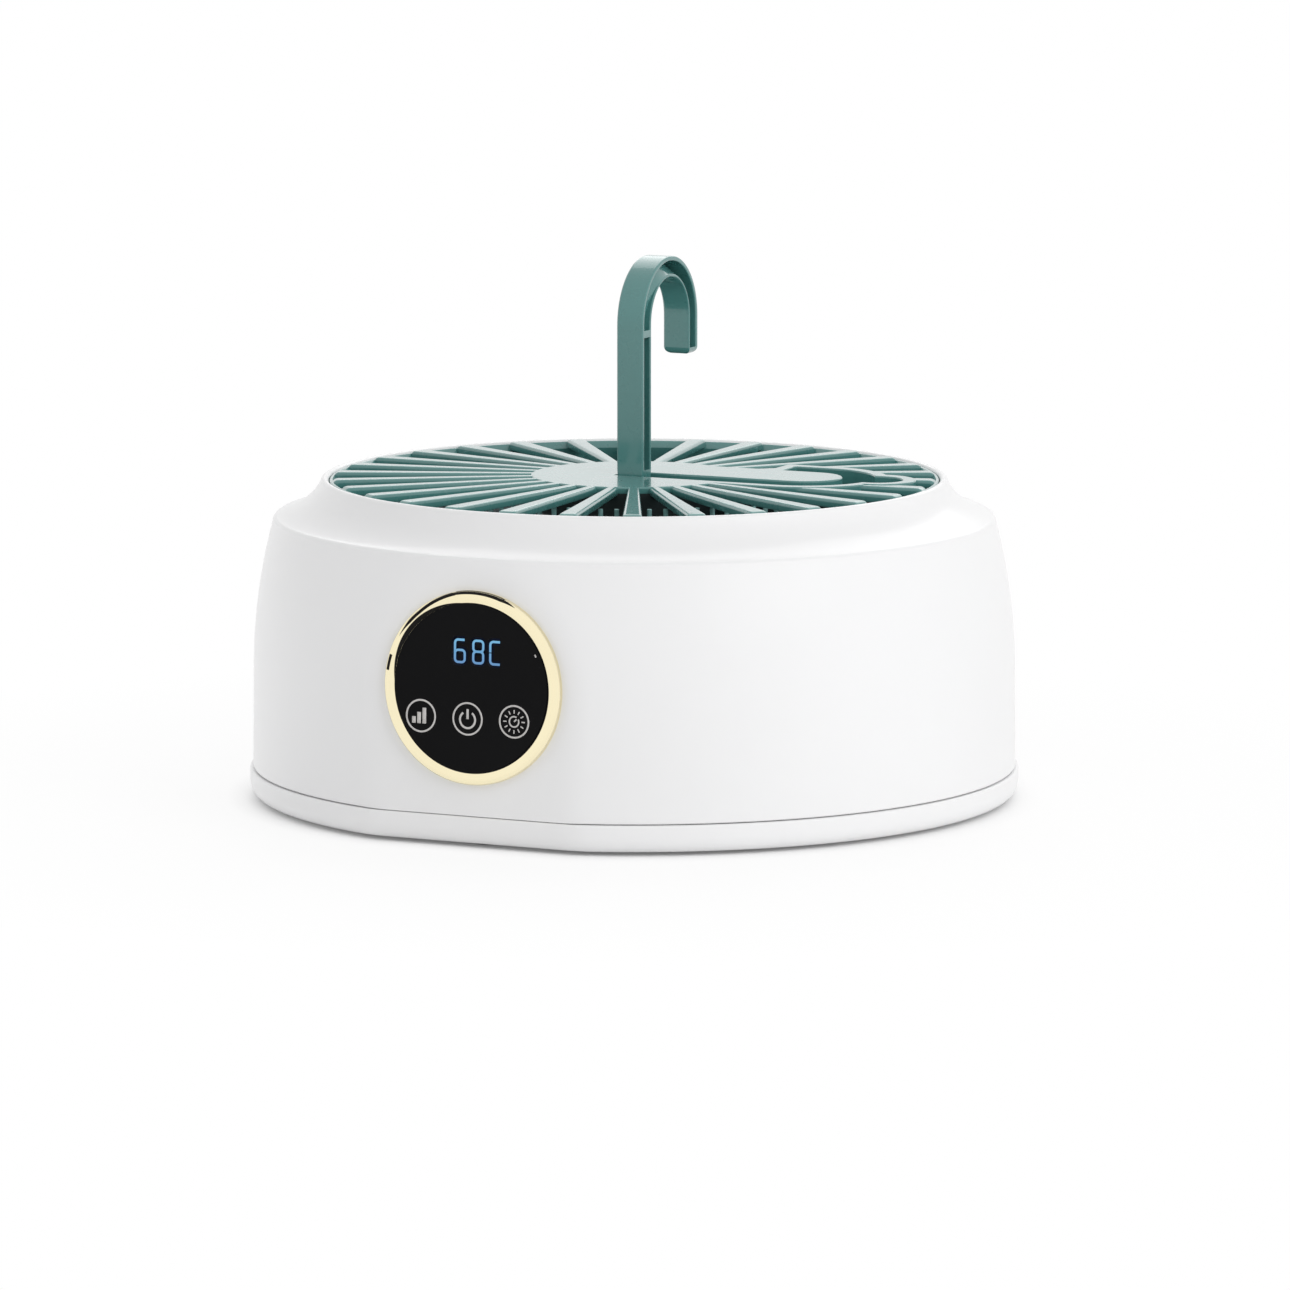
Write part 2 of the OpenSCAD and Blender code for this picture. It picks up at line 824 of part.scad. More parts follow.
module display_bezel() {
    in_r = lens_r + bezel_gap;
    mid_r = (in_r + bezel_r) / 2;
    round_r = bezel_w / 2;
    crown = arc([mid_r, bezel_h - round_r], round_r, 0, 180, 14);
    color(gold)
        display_frame()
            rotate_extrude($fn = 120)
                polygon(concat(
                    [[bezel_r, 0]], crown,
                    [[in_r, -lens_sink], [in_r - shelf_w, -lens_sink],
                     [in_r - shelf_w, -lens_sink - 1.6], [in_r, -lens_sink - 1.6],
                     [in_r, -sleeve_depth], [in_r + sleeve_t, -sleeve_depth], [in_r + sleeve_t, 0]]));
}

module display_lens() {
    edge = 0.5;
    color(black)
        display_frame() {
            translate([0, 0, -lens_sink])
                cylinder(r = lens_r, h = lens_sink + lens_proud - edge, $fn = 120);
            translate([0, 0, lens_proud - edge])
                cylinder(r1 = lens_r, r2 = lens_r - edge, h = edge, $fn = 120);
        }
}

module display_board() {
    color(board_green)
        display_frame()
            translate([0, 0, display_board_z])
                difference() {
                    cylinder(r = display_board_r, h = board_t);
                    for (a = display_posts)
                        rotate([0, 0, a])
                            translate([display_post_r, 0, -1])
                                cylinder(r = display_screw_r + 0.2, h = board_t + 2, $fn = 32);
                }
}

module led_module() {
    color(black)
        display_frame()
            translate([-led_size[0] / 2, led_y - led_size[1] / 2, display_board_z + board_t])
                cube(led_size);
}

module touch_pads() {
    color(grey)
        display_frame()
            for (x = [-touch_x, 0, touch_x])
                translate([x, touch_y, display_board_z + board_t])
                    cylinder(r = touch_r, h = -lens_sink - display_board_z - board_t, $fn = 48);
}

module display_screws() {
    color(steel)
        display_frame()
            for (a = display_posts)
                rotate([0, 0, a])
                    translate([display_post_r, 0, display_board_z]) {
                        translate([0, 0, -display_head_t])
                            cylinder(r = display_head_r, h = display_head_t, $fn = 32);
                        cylinder(r = display_screw_r, h = display_screw_l, $fn = 32);
                    }
}

// ---------------------------------------------------------------- power

module power_board() {
    color(board_green)
    difference() {
        rotate([0, 0, board_angle])
            translate([board_in_r, -board_size[1] / 2, board_z])
                cube(board_size);
        board_posts(screw_r + 0.2, board_z - 1, board_z + board_t + 1);
    }
}

module power_components() {
    top = board_z + board_t;
    color(grey)
    rotate([0, 0, board_angle])
        translate([board_in_r, 0, top]) {
            for (block = [transformer, relay, terminal])
                translate(block[0])
                    cube(block[1]);
            for (place = capacitors)
                translate(place)
                    cylinder(r = capacitor_r, h = capacitor_h, $fn = 32);
        }
}

module board_screws() {
    color(steel)
    rotate([0, 0, board_angle])
        for (x = [board_post_inset, board_size[0] - board_post_inset])
            for (y = [-1, 1])
                translate([board_in_r + x, y * (board_size[1] / 2 - board_post_inset), board_z + board_t])
                    rotate([180, 0, 0])
                        screw(board_screw_l);
}

// Plan of a two-pin appliance socket
module socket_plan() {
    for (side = [-1, 1])
        translate([side * contact_pitch / 2, 0])
            circle(r = socket_r, $fn = 48);
    square([contact_pitch, socket_h], center = true);
}

module inlet_frame() {
    translate([0, inlet_face_y, inlet_z])
        rotate([-90, 0, 0])
            children();
}

module mains_inlet() {
    color(black)
        inlet_frame()
            difference() {
                union() {
                    translate([-inlet_flange[0] / 2, -inlet_flange[1] / 2, 0])
                        cube(inlet_flange);
                    translate([-inlet_body[0] / 2, -inlet_body[1] / 2, -inlet_depth])
                        cube([inlet_body[0], inlet_body[1], inlet_depth + eps]);
                }
                translate([0, 0, inlet_flange[2] - socket_depth])
                    linear_extrude(height = socket_depth + 1)
                        socket_plan();
                for (side = [-1, 1])
                    translate([side * contact_pitch / 2, 0, -inlet_depth - 1])
                        cylinder(r = contact_r, h = inlet_depth, $fn = 32);
            }
}

module inlet_pins() {
    color(steel)
        inlet_frame()
            for (side = [-1, 1])
                translate([side * contact_pitch / 2, 0, -inlet_depth - contact_tail])
                    cylinder(r = contact_r, h = contact_len, $fn = 32);
}

// ---------------------------------------------------------------- fan

module fan_duct() {
    color(grey)
    difference() {
        union() {
            translate([0, 0, tray_floor_z])
                tube(duct_r + duct_t, duct_r, duct_top_z - tray_floor_z);
            translate([0, 0, duct_ledge_z - duct_ledge_t])
                tube(duct_r + 1, duct_r - duct_ledge_w, duct_ledge_t);
            difference() {
                ring_of(ear_count, ear_ring_r)
                    translate([0, 0, ear_z]) {
                        cylinder(r = ear_r, h = ear_t, $fn = 48);
                        translate([-ear_r, -ear_r, 0])
                            cube([ear_r, 2 * ear_r, ear_t]);
                    }
                cylinder(r = duct_r + 1, h = far);
            }
            // Pad for the thermal cut-out
            rotate([0, 0, cutout_angle])
                translate([duct_r + 1, -cutout_pad[1] / 2, cutout_z - cutout_pad[2] / 2])
                    cube(cutout_pad);
        }
        ring_of(ear_count, ear_ring_r)
            cylinder(r = screw_r + 0.2, h = 30, $fn = 32);
    }
}

module motor_mount() {
    out_r = duct_r - slip_gap;
    color(grey)
    translate([0, 0, mount_z])
        difference() {
            union() {
                tube(out_r, out_r - mount_rim_w, mount_t);
                cylinder(r = motor_plate_r, h = mount_t);
                intersection() {
                    for (a = [0, 45, 90, 135])
                        rotate([0, 0, a])
                            translate([-far / 2, -mount_arm_w / 2, 0])
                                cube([far, mount_arm_w, mount_t]);
                    cylinder(r = out_r - 1, h = mount_t);
                }
            }
            ring_of(4, motor_screw_ring_r, motor_screw_turn)
                translate([0, 0, -1])
                    cylinder(r = screw_r + 0.2, h = 10, $fn = 32);
        }
}

module fan_motor() {
    color(steel)
    difference() {
        union() {
            translate([0, 0, motor_z])
                cylinder(r = motor_r, h = motor_h - 2);
            translate([0, 0, motor_z + motor_h - 2])
                cylinder(r1 = motor_r, r2 = motor_r - 2, h = 2);
        }
        translate([0, 0, motor_z + 2])
            cylinder(r = shaft_r + shaft_clearance, h = motor_h, $fn = 48);
        ring_of(4, motor_screw_ring_r, motor_screw_turn)
            translate([0, 0, motor_z - 1])
                cylinder(r = pilot_r, h = 8, $fn = 32);
    }
}

module motor_screws() {
    color(steel)
    ring_of(4, motor_screw_ring_r, motor_screw_turn)
        translate([0, 0, mount_z])
            screw(mount_t + 6);
}

module motor_shaft() {
    color(steel)
        translate([0, 0, motor_z + 3])
            cylinder(r = shaft_r, h = shaft_top_z - motor_z - 3, $fn = 48);
}

module impeller() {
    blade_r = duct_r - tip_gap;
    color(black)
    difference() {
        union() {
            translate([0, 0, fan_z])
                cylinder(r = fan_hub_r, h = fan_h);
            intersection() {
                ring_of(blade_count, fan_hub_r - 4)
                    translate([0, 0, fan_z + fan_h / 2])
                        rotate([blade_pitch, 0, 0])
                            translate([0, -far / 2, -blade_t / 2])
                                cube([far / 2, far, blade_t]);
                translate([0, 0, fan_z + 1])
                    cylinder(r = blade_r, h = fan_h - 2);
                union() {
                    ring_of(blade_count, 0)
                        translate([0, -blade_root_w / 2, fan_z])
                            cube([far / 2, blade_root_w, fan_h]);
                }
            }
        }
        translate([0, 0, fan_z - 1])
            cylinder(r = shaft_r, h = fan_h + 2, $fn = 48);
        translate([0, 0, fan_z - eps])
            tube(fan_hub_r - 3, 6, fan_h - 4);
    }
}

module impeller_nut() {
    color(steel)
    translate([0, 0, fan_z + fan_h])
        difference() {
            cylinder(r = nut_r, h = nut_t, $fn = 6);
            translate([0, 0, -1])
                cylinder(r = shaft_r, h = nut_t + 2, $fn = 48);
        }
}

// ---------------------------------------------------------------- heater and outlet

module heater_frame() {
    out_r = duct_r - slip_gap;
    color(grey)
    union() {
        translate([0, 0, frame_z])
            tube(out_r, out_r - heater_frame_w, heater_frame_top_z - frame_z);
        intersection() {
            for (y = [-crossbar_y, crossbar_y])
                translate([-far / 2, y - crossbar_w / 2, heater_z - crossbar_t])
                    cube([far, crossbar_w, crossbar_t]);
            cylinder(r = out_r - 1, h = far);
        }
    }
}

module heater_elements() {
    half = (heater_bars - 1) / 2;
    limit_r = duct_r - slip_gap - heater_frame_w - 1;
    color(aluminium)
    for (i = [-half:half]) {
        reach = sqrt(pow(limit_r, 2) - pow(abs(i) * heater_pitch + heater_fin_w / 2, 2));
        fins = floor(reach / heater_fin_pitch);
        translate([i * heater_pitch, 0, heater_z])
            linear_extrude(height = heater_h) {
                square([heater_core_w, 2 * reach], center = true);
                for (k = [-fins:fins])
                    translate([0, k * heater_fin_pitch])
                        square([heater_fin_w, min(heater_fin_t, 2 * reach)], center = true);
            }
    }
}

module thermal_cutout() {
    color(steel)
    rotate([0, 0, cutout_angle])
        translate([duct_r + 1 + cutout_pad[0], 0, cutout_z])
            rotate([0, 90, 0]) {
                cylinder(r = cutout_r, h = cutout_h, $fn = 48);
                translate([0, 0, cutout_h])
                    cylinder(r = cutout_cap_r, h = cutout_cap_h, $fn = 48);
            }
}

module temperature_probe() {
    color(steel)
    translate([heater_pitch / 2, crossbar_y, heater_z]) {
        cylinder(r = probe_r, h = probe_h, $fn = 32);
        translate([0, 0, probe_h])
            sphere(r = probe_r, $fn = 32);
    }
}

module outlet_grille() {
    low_z = tray_lift + outlet_lift;
    in_r = outlet_r - outlet_rim_w;
    color(grey) {
        translate([0, 0, tray_floor_z])
            tube(duct_r - slip_gap, in_r, outlet_flange_t);
        translate([0, 0, low_z])
            tube(outlet_r - slip_gap, in_r, frame_z - low_z);
        for (r = [outlet_first_ring_r:outlet_ring_pitch:in_r - outlet_bar_w])
            translate([0, 0, low_z])
                tube(r + outlet_bar_w / 2, r - outlet_bar_w / 2, outlet_bar_h);
        intersection() {
            for (i = [0:outlet_spokes / 2 - 1])
                rotate([0, 0, 360 * i / outlet_spokes])
                    translate([-far / 2, -outlet_bar_w / 2, low_z])
                        cube([far, outlet_bar_w, frame_z - low_z]);
            cylinder(r = in_r + 2, h = far);
        }
        translate([0, 0, low_z])
            cylinder(r = outlet_hub_r, h = frame_z - low_z);
    }
}

// ---------------------------------------------------------------- remaining screws

module base_screws() {
    color(steel)
    ring_of(base_screw_count, base_screw_pcd_r)
        translate([0, 0, boss_top_z - boss_web_t])
            screw(boss_web_t + 12);
}

module duct_screws() {
    color(steel)
    ring_of(ear_count, ear_ring_r)
        translate([0, 0, ear_z + ear_t])
            rotate([180, 0, 0])
                screw(ear_t + 7);
}

module grille_screws() {
    color(steel)
    ring_of(grille_screw_count, grille_screw_r, rib_phase - 90)
        translate([0, 0, ledge_z - ledge_t])
            screw(ledge_t + mesh_t + 5);
}

upper_housing();
base_tray();
seam_gasket();
top_grille();
filter_mesh();
filter_frame();
hook();
hook_pin();
hinge_washers();
display_bezel();
display_lens();
display_board();
led_module();
touch_pads();
power_board();
power_components();
mains_inlet();
inlet_pins();
fan_duct();
motor_mount();
fan_motor();
motor_shaft();
impeller();
impeller_nut();
heater_frame();
heater_elements();
thermal_cutout();
temperature_probe();
outlet_grille();
rubber_feet();
base_screws();
duct_screws();
grille_screws();
motor_screws();
display_screws();
board_screws();
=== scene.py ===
"""Dresses a hanging hot-air dryer head: a white drum, a ribbed teal grille, a hook and a round display.

Lengths are metres, +Z is up and the display faces -Y. The origin is on the drum's axis, on the floor.
"""

import math

import bmesh
import bpy
from bpy.props import FloatProperty, FloatVectorProperty, IntProperty, PointerProperty
from mathutils import Matrix, Vector


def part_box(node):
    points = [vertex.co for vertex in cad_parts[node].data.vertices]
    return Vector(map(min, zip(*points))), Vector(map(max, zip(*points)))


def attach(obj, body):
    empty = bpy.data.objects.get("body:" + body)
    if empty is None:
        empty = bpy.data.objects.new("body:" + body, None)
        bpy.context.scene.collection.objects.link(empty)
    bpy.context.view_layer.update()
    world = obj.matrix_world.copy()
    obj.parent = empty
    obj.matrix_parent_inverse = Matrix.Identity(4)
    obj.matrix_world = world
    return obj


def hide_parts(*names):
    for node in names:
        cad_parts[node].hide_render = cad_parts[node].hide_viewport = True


bl_info = {
    "name": "Hanging dryer head",
    "version": (1, 0, 0),
    "blender": (4, 5, 0),
    "location": "View3D > Sidebar > Dryer",
    "description": "Builds the finished surfaces of a round hot-air dryer head round its frame",
    "category": "Add Mesh",
}

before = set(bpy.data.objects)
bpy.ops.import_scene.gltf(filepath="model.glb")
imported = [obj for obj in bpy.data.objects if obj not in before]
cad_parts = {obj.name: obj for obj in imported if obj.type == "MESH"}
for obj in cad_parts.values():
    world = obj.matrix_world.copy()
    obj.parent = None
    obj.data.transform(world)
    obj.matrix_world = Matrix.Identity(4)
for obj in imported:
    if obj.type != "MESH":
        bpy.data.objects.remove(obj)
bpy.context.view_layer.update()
MM = 0.001

DRYER = "dryer"
HOOK_ARM = "hook_arm"

TRAY_LOW, TRAY_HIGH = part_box("base_tray")
HOUSING_LOW, HOUSING_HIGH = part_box("upper_housing")
GRILLE_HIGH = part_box("top_grille")[1]
HOOK_LOW, HOOK_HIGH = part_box("hook")
MESH_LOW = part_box("filter_mesh")[0]
INLET_LOW, INLET_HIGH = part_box("mains_inlet")
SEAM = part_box("seam_gasket")[0].z
TRAY_FRONT = -TRAY_LOW.y
HUB_TOP = GRILLE_HIGH.z
HALF_WIDE, HALF_THICK = HOOK_HIGH.x, -HOOK_LOW.y
PIVOT = HUB_TOP - HALF_WIDE

# Straight up, the turn from +X to the display, and the screw places round the drum
RISE = Vector((0, 0, 1))
FRONT_TURN = -math.pi / 2
SCREW_COUNT, SCREW_PITCH = 6, math.pi / 3
SCREW_HEAD = 3 * MM
POST_CIRCLE, EAR_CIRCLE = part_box("base_screws")[1].x - SCREW_HEAD, 95.5 * MM


# ---------------------------------------------------------------- settings


def length(name, description, default):
    """Size setting in metres."""
    return FloatProperty(name=name, description=description, default=default, unit="LENGTH", precision=5)


def angle(name, description, degrees):
    """Angle setting, whose default is given in degrees."""
    return FloatProperty(name=name, description=description, default=math.radians(degrees), subtype="ANGLE")


def lamp_power(name, description, watts):
    """Power setting of a lamp."""
    return FloatProperty(name=name, description=description, default=watts, unit="POWER")


def colour(name, description, rgb):
    """Colour setting."""
    return FloatVectorProperty(
        name=name, description=description, default=rgb, subtype="COLOR", size=3, min=0, max=1
    )


class DryerSizes(bpy.types.PropertyGroup):
    """Sizes of the dressed pieces"""

    drum_radius: length("Drum radius", "Radius of the white wall just above the seam", 129 * MM)
    shoulder_radius: length("Shoulder radius", "Radius of the wall at the shoulder's crease", 122 * MM)
    shoulder_height: length("Shoulder height", "Height of the crease below the neck", 95.6 * MM)
    barrel_height: length("Barrel height", "Height at which the wall starts to curve in", 45 * MM)
    wall: length("Wall", "Thickness of the white shell", 2.6 * MM)
    rim_radius: length("Rim radius", "Outer radius of the rolled rim round the grille", 105.8 * MM)
    rim_width: length("Rim width", "Width of the rolled rim", 2.75 * MM)
    flat_distance: length("Flat distance", "Distance from the axis to the display flat at the seam", 124 * MM)
    flat_lean: angle("Flat lean", "Backward lean of the display flat", 1.5)
    flat_blend: length("Flat blend", "Softness of the edge round the display flat", 1.3 * MM)
    seam_gap: length("Seam gap", "Height of the shadow gap between drum and tray", 0.27 * MM)
    display_height: length("Display height", "Height of the display's centre above the seam", 42.6 * MM)
    hub_radius: length("Hub radius", "Radius of the grille's flat hub", 35 * MM)
    rib_edge: length("Rib edge", "Rounding of the ribs' upper edges", 1.15 * MM)
    rib_thickness: length("Rib thickness", "Thickness of a rib below its upper face", 3 * MM)
    rib_end: length("Rib end", "Height of the ribs' upper faces at the ring", 108.6 * MM)
    rib_count: IntProperty(name="Ribs", description="Number of radial ribs", default=30, min=12, max=48)
    rib_phase: angle("Rib phase", "Angle of the first rib from -Y towards +X", 1.0)
    deck_edge: length("Deck edge", "Rounding round the hook's recess", 0.7 * MM)
    hook_back: length("Hook back", "Extra width of the hook on the side away from its pocket", 0.4 * MM)
    hook_edge: length("Hook edge", "Rounding of the hook's outer edges", 1.1 * MM)
    digit_stroke: length("Digit stroke", "Width of a lit segment", 0.78 * MM)
    mark_stroke: length("Mark stroke", "Width of the printed rings round the keys", 0.6 * MM)


class DryerColours(bpy.types.PropertyGroup):
    """Colours of the finishes"""

    white: colour("White plastic", "Gloss white of the drum", (0.9, 0.9, 0.905))
    teal: colour("Teal plastic", "Grey-green of the grille and hook", (0.075, 0.235, 0.224))
    gold: colour("Display ring", "Pale gold of the display's ring", (0.93, 0.84, 0.58))
    lens: colour("Lens", "Black of the display's lens", (0.005, 0.005, 0.0055))
    digits: colour("Digits", "Blue of the lit digits", (0.15, 0.42, 0.66))
    marks: colour("Marks", "Grey of the printed key marks", (0.6, 0.58, 0.57))


class DryerLight(bpy.types.PropertyGroup):
    """Camera and lamps"""

    azimuth: angle("Azimuth", "Camera's turn round the drum from the display towards +X", 25.3)
    elevation: angle("Elevation", "Camera's height above the horizon", 8.392)
    distance: length("Distance", "Distance from the camera to the point it looks at", 2.9924)
    focal: FloatProperty(name="Focal length", description="Lens in millimetres", default=246.86, min=1)
    key_power: lamp_power("Key power", "Power of the right lamp", 6.7)
    fill_power: lamp_power("Fill power", "Power of the left lamp", 2.3)
    back_power: lamp_power("Back power", "Power of the lamp behind", 4.3)
    sky: FloatProperty(name="Sky", description="Strength of the even light from all round", default=0.52)


# ---------------------------------------------------------------- meshes


def smooth(mesh):
    """Smooth shading, with sharp edges where faces meet at more than an angle."""
    mesh.shade_smooth()
    mesh.set_sharp_from_angle(angle=math.radians(35))


def link_mesh(name, bm):
    """Object from a bmesh, with outward normals and smooth shading."""
    bmesh.ops.recalc_face_normals(bm, faces=bm.faces[:])
    mesh = bpy.data.meshes.new(name)
    bm.to_mesh(mesh)
    bm.free()
    smooth(mesh)
    obj = bpy.data.objects.new(name, mesh)
    bpy.context.scene.collection.objects.link(obj)
    return obj


def flat_shade_fix(obj):
    """Lets large flat faces keep their own normals beside rounded edges."""
    fix = obj.modifiers.new("flat_faces", "WEIGHTED_NORMAL")
    fix.keep_sharp = True


def place(obj, body, slot, material, *nodes):
    """Finish, body and the nodes that the piece stands for. The slot argument is not used."""
    obj.data.materials.clear()
    obj.data.materials.append(material)
    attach(obj, body)
    if nodes:
        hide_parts(*nodes)


def paint(finishes):
    """Gives CAD nodes their finish."""
    for node, material in finishes.items():
        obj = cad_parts[node]
        obj.data.materials.clear()
        obj.data.materials.append(material)


def skin(bm, rows, wrap=False, caps=False):
    """Quads between rows of points, where each row is a closed loop."""
    loops = [[bm.verts.new(point) for point in row] for row in rows]
    pairs = list(zip(loops, loops[1:]))
    if wrap:
        pairs.append((loops[-1], loops[0]))
    for low, high in pairs:
        for i in range(len(low)):
            j = (i + 1) % len(low)
            bm.faces.new((low[i], low[j], high[j], high[i]))
    if caps:
        bm.faces.new(reversed(loops[0]))
        bm.faces.new(loops[-1])
    return loops


def skinned(name, rows, wrap=False, caps=False):
    """Object from rows of points, where each row is a closed loop."""
    bm = bmesh.new()
    skin(bm, rows, wrap, caps)
    return link_mesh(name, bm)


def lathe(name, profile, steps=180):
    """Closed ring of a profile of (radius, height) turned round the drum's axis."""
    rows = []
    for i in range(steps):
        turn = 2 * math.pi * i / steps
        along, across = math.cos(turn), math.sin(turn)
        rows.append([(radius * along, radius * across, height) for radius, height in profile])
    return skinned(name, rows, wrap=True)


def arc(centre, radius, start, end, steps=8):
    """Points of a circular arc from start to end degrees."""
    points = []
    for i in range(steps + 1):
        turn = math.radians(start + (end - start) * i / steps)
        points.append((centre[0] + radius * math.cos(turn), centre[1] + radius * math.sin(turn)))
    return points


def offset_outline(points, distance):
    """Anticlockwise outline moved outwards by distance."""
    moved = []
    for i, point in enumerate(points):
        before, after = points[i - 1], points[(i + 1) % len(points)]
        normals = []
        for a, b in ((before, point), (point, after)):
            edge = Vector((b[0] - a[0], b[1] - a[1])).normalized()
            normals.append(Vector((edge.y, -edge.x)))
        both = normals[0] + normals[1]
        step = both * (distance / max(0.4, 1 + normals[0].dot(normals[1])))
        moved.append((point[0] + step.x, point[1] + step.y))
    return moved


def fill_outlines(bm, loops):
    """Flat face between an outer loop of vertices and the loops inside it."""
    edges = []
    for loop in loops:
        for i in range(len(loop)):
            pair = (loop[i], loop[(i + 1) % len(loop)])
            edges.append(bm.edges.get(pair) or bm.edges.new(pair))
    bmesh.ops.triangle_fill(bm, use_beauty=True, edges=edges, normal=(0, 0, 1))


def plate(name, outlines, bottom, top, edge, steps=4):
    """Flat part with rounded upper edges. The first outline is the outer one, the rest are holes."""
    bm = bmesh.new()
    upper, lower = [], []
    for number, outline in enumerate(outlines):
        side = -1 if number == 0 else 1
        rows = [[(x, y, bottom) for x, y in outline]]
        for i in range(steps + 1):
            turn = math.pi / 2 * i / steps
            inset = edge * (1 - math.cos(turn))
            height = top - edge * (1 - math.sin(turn))
            rows.append([(x, y, height) for x, y in offset_outline(outline, side * inset)])
        loops = skin(bm, rows)
        lower.append(loops[0])
        upper.append(loops[-1])
    fill_outlines(bm, upper)
    fill_outlines(bm, lower)
    return link_mesh(name, bm)


def outwards(turn):
    """Level direction away from the axis."""
    return Vector((math.cos(turn), math.sin(turn), 0))


def boolean(obj, tool, operation):
    """Applies one exact join or cut and removes the tool."""
    step = obj.modifiers.new("cut", "BOOLEAN")
    step.operation = operation
    step.solver = "MANIFOLD"
    step.object = tool
    graph = bpy.context.evaluated_depsgraph_get()
    result = bpy.data.meshes.new_from_object(obj.evaluated_get(graph))
    if not result.polygons:
        raise RuntimeError(f"{operation} of {obj.name} and {tool.name} left nothing")
    obj.modifiers.remove(step)
    result.name = obj.data.name
    obj.data = result
    bpy.data.objects.remove(tool)
    smooth(result)
    return obj


def join(obj, tool):
    """Adds the tool to a piece."""
    return boolean(obj, tool, "UNION")


def cut(obj, tool):
    """Takes the tool out of a piece."""
    return boolean(obj, tool, "DIFFERENCE")


def block(name, low, high):
    """Square-edged cutter between two corners."""
    bm = bmesh.new()
    size = Vector(high) - Vector(low)
    place_at = Matrix.Translation((Vector(low) + Vector(high)) / 2)
    bmesh.ops.create_cube(bm, size=1, matrix=place_at @ Matrix.Diagonal((*size, 1)))
    return link_mesh(name, bm)


def rib_block(name, turn, start, end, width, low, high):
    """Square-edged web that runs outwards from the axis."""
    obj = block(name, (start, -width / 2, low), (end, width / 2, high))
    obj.data.transform(Matrix.Rotation(turn, 4, "Z"))
    return obj


def rod(name, start, end, radius, steps=64):
    """Round cutter from one point to another."""
    bm = bmesh.new()
    start, end = Vector(start), Vector(end)
    turn = RISE.rotation_difference(end - start).to_matrix().to_4x4()
    matrix = Matrix.Translation((start + end) / 2) @ turn
    bmesh.ops.create_cone(
        bm, cap_ends=True, segments=steps, radius1=radius, radius2=radius,
        depth=(end - start).length, matrix=matrix,
    )
    return link_mesh(name, bm)


# ---------------------------------------------------------------- finishes


def new_material(name):
    """New material with its nodes and links."""
    material = bpy.data.materials.new(name)
    material.use_nodes = True
    return material, material.node_tree.nodes, material.node_tree.links


def noise(nodes, links, scale, detail=3.0, stretch=(1, 1, 1)):
    """Noise over the piece's own coordinates, in features of about 1 / scale metres."""
    mapping = nodes.new("ShaderNodeMapping")
    mapping.inputs["Scale"].default_value = stretch
    texture = nodes.new("ShaderNodeTexNoise")
    texture.inputs["Scale"].default_value = scale
    texture.inputs["Detail"].default_value = detail
    links.new(nodes.new("ShaderNodeTexCoord").outputs["Object"], mapping.inputs["Vector"])
    links.new(mapping.outputs["Vector"], texture.inputs["Vector"])
    return texture.outputs["Fac"]


def fade(nodes, links, share, low, high, socket):
    """Feeds a socket with a colour that goes from low to high with share."""
    shades = nodes.new("ShaderNodeValToRGB")
    shades.color_ramp.elements[0].color = (*low, 1)
    shades.color_ramp.elements[1].color = (*high, 1)
    links.new(share, shades.inputs["Fac"])
    links.new(shades.outputs["Color"], socket)
    return shades


def relief(nodes, links, height, strength, depth):
    """Gives the finish a fine relief."""
    bump = nodes.new("ShaderNodeBump")
    bump.inputs["Strength"].default_value = strength
    bump.inputs["Distance"].default_value = depth
    links.new(height, bump.inputs["Height"])
    links.new(bump.outputs["Normal"], nodes["Principled BSDF"].inputs["Normal"])
    return bump


def combined(nodes, links, operation, first, second):
    """Result of a maths step on two values."""
    node = nodes.new("ShaderNodeMath")
    node.operation = operation
    links.new(first, node.inputs[0])
    links.new(second, node.inputs[1])
    return node.outputs["Value"]


def mix_shaders(nodes, links, share, first, second, output):
    """Feeds an output with the first shader, which turns into the second as share rises."""
    mix = nodes.new("ShaderNodeMixShader")
    links.new(share, mix.inputs["Fac"])
    links.new(first, mix.inputs[1])
    links.new(second, mix.inputs[2])
    links.new(mix.outputs["Shader"], nodes[output].inputs["Surface"])


def finish(name, rgb, roughness, tint=0.03, blotch=25, grain=1800, bump=0.02, rough_spread=0.05,
           stretch=(1, 1, 1), **sockets):
    """Surface with small changes of shade and gloss and a fine grain.

    tint and rough_spread say how far the shade and the roughness wander, in patches as fine as blotch.
    grain says how fine the relief is and bump how strong. Other values go to the shader's own sockets.
    """
    material, nodes, links = new_material(name)
    shader = nodes["Principled BSDF"]
    for socket, value in sockets.items():
        shader.inputs[socket.replace("_", " ")].default_value = value
    darker = [c * (1 - tint) for c in rgb]
    lighter = [min(1, c * (1 + tint)) for c in rgb]
    patches = fade(nodes, links, noise(nodes, links, blotch), darker, lighter, shader.inputs["Base Color"])
    patches.color_ramp.elements[0].position = 0.3
    patches.color_ramp.elements[1].position = 0.7
    gloss = nodes.new("ShaderNodeMapRange")
    gloss.inputs["To Min"].default_value = max(0.01, roughness - rough_spread)
    gloss.inputs["To Max"].default_value = roughness + rough_spread
    links.new(noise(nodes, links, blotch * 6), gloss.inputs["Value"])
    links.new(gloss.outputs["Result"], shader.inputs["Roughness"])
    relief(nodes, links, noise(nodes, links, grain, detail=2.0, stretch=stretch), bump, 0.1 * MM)
    return material


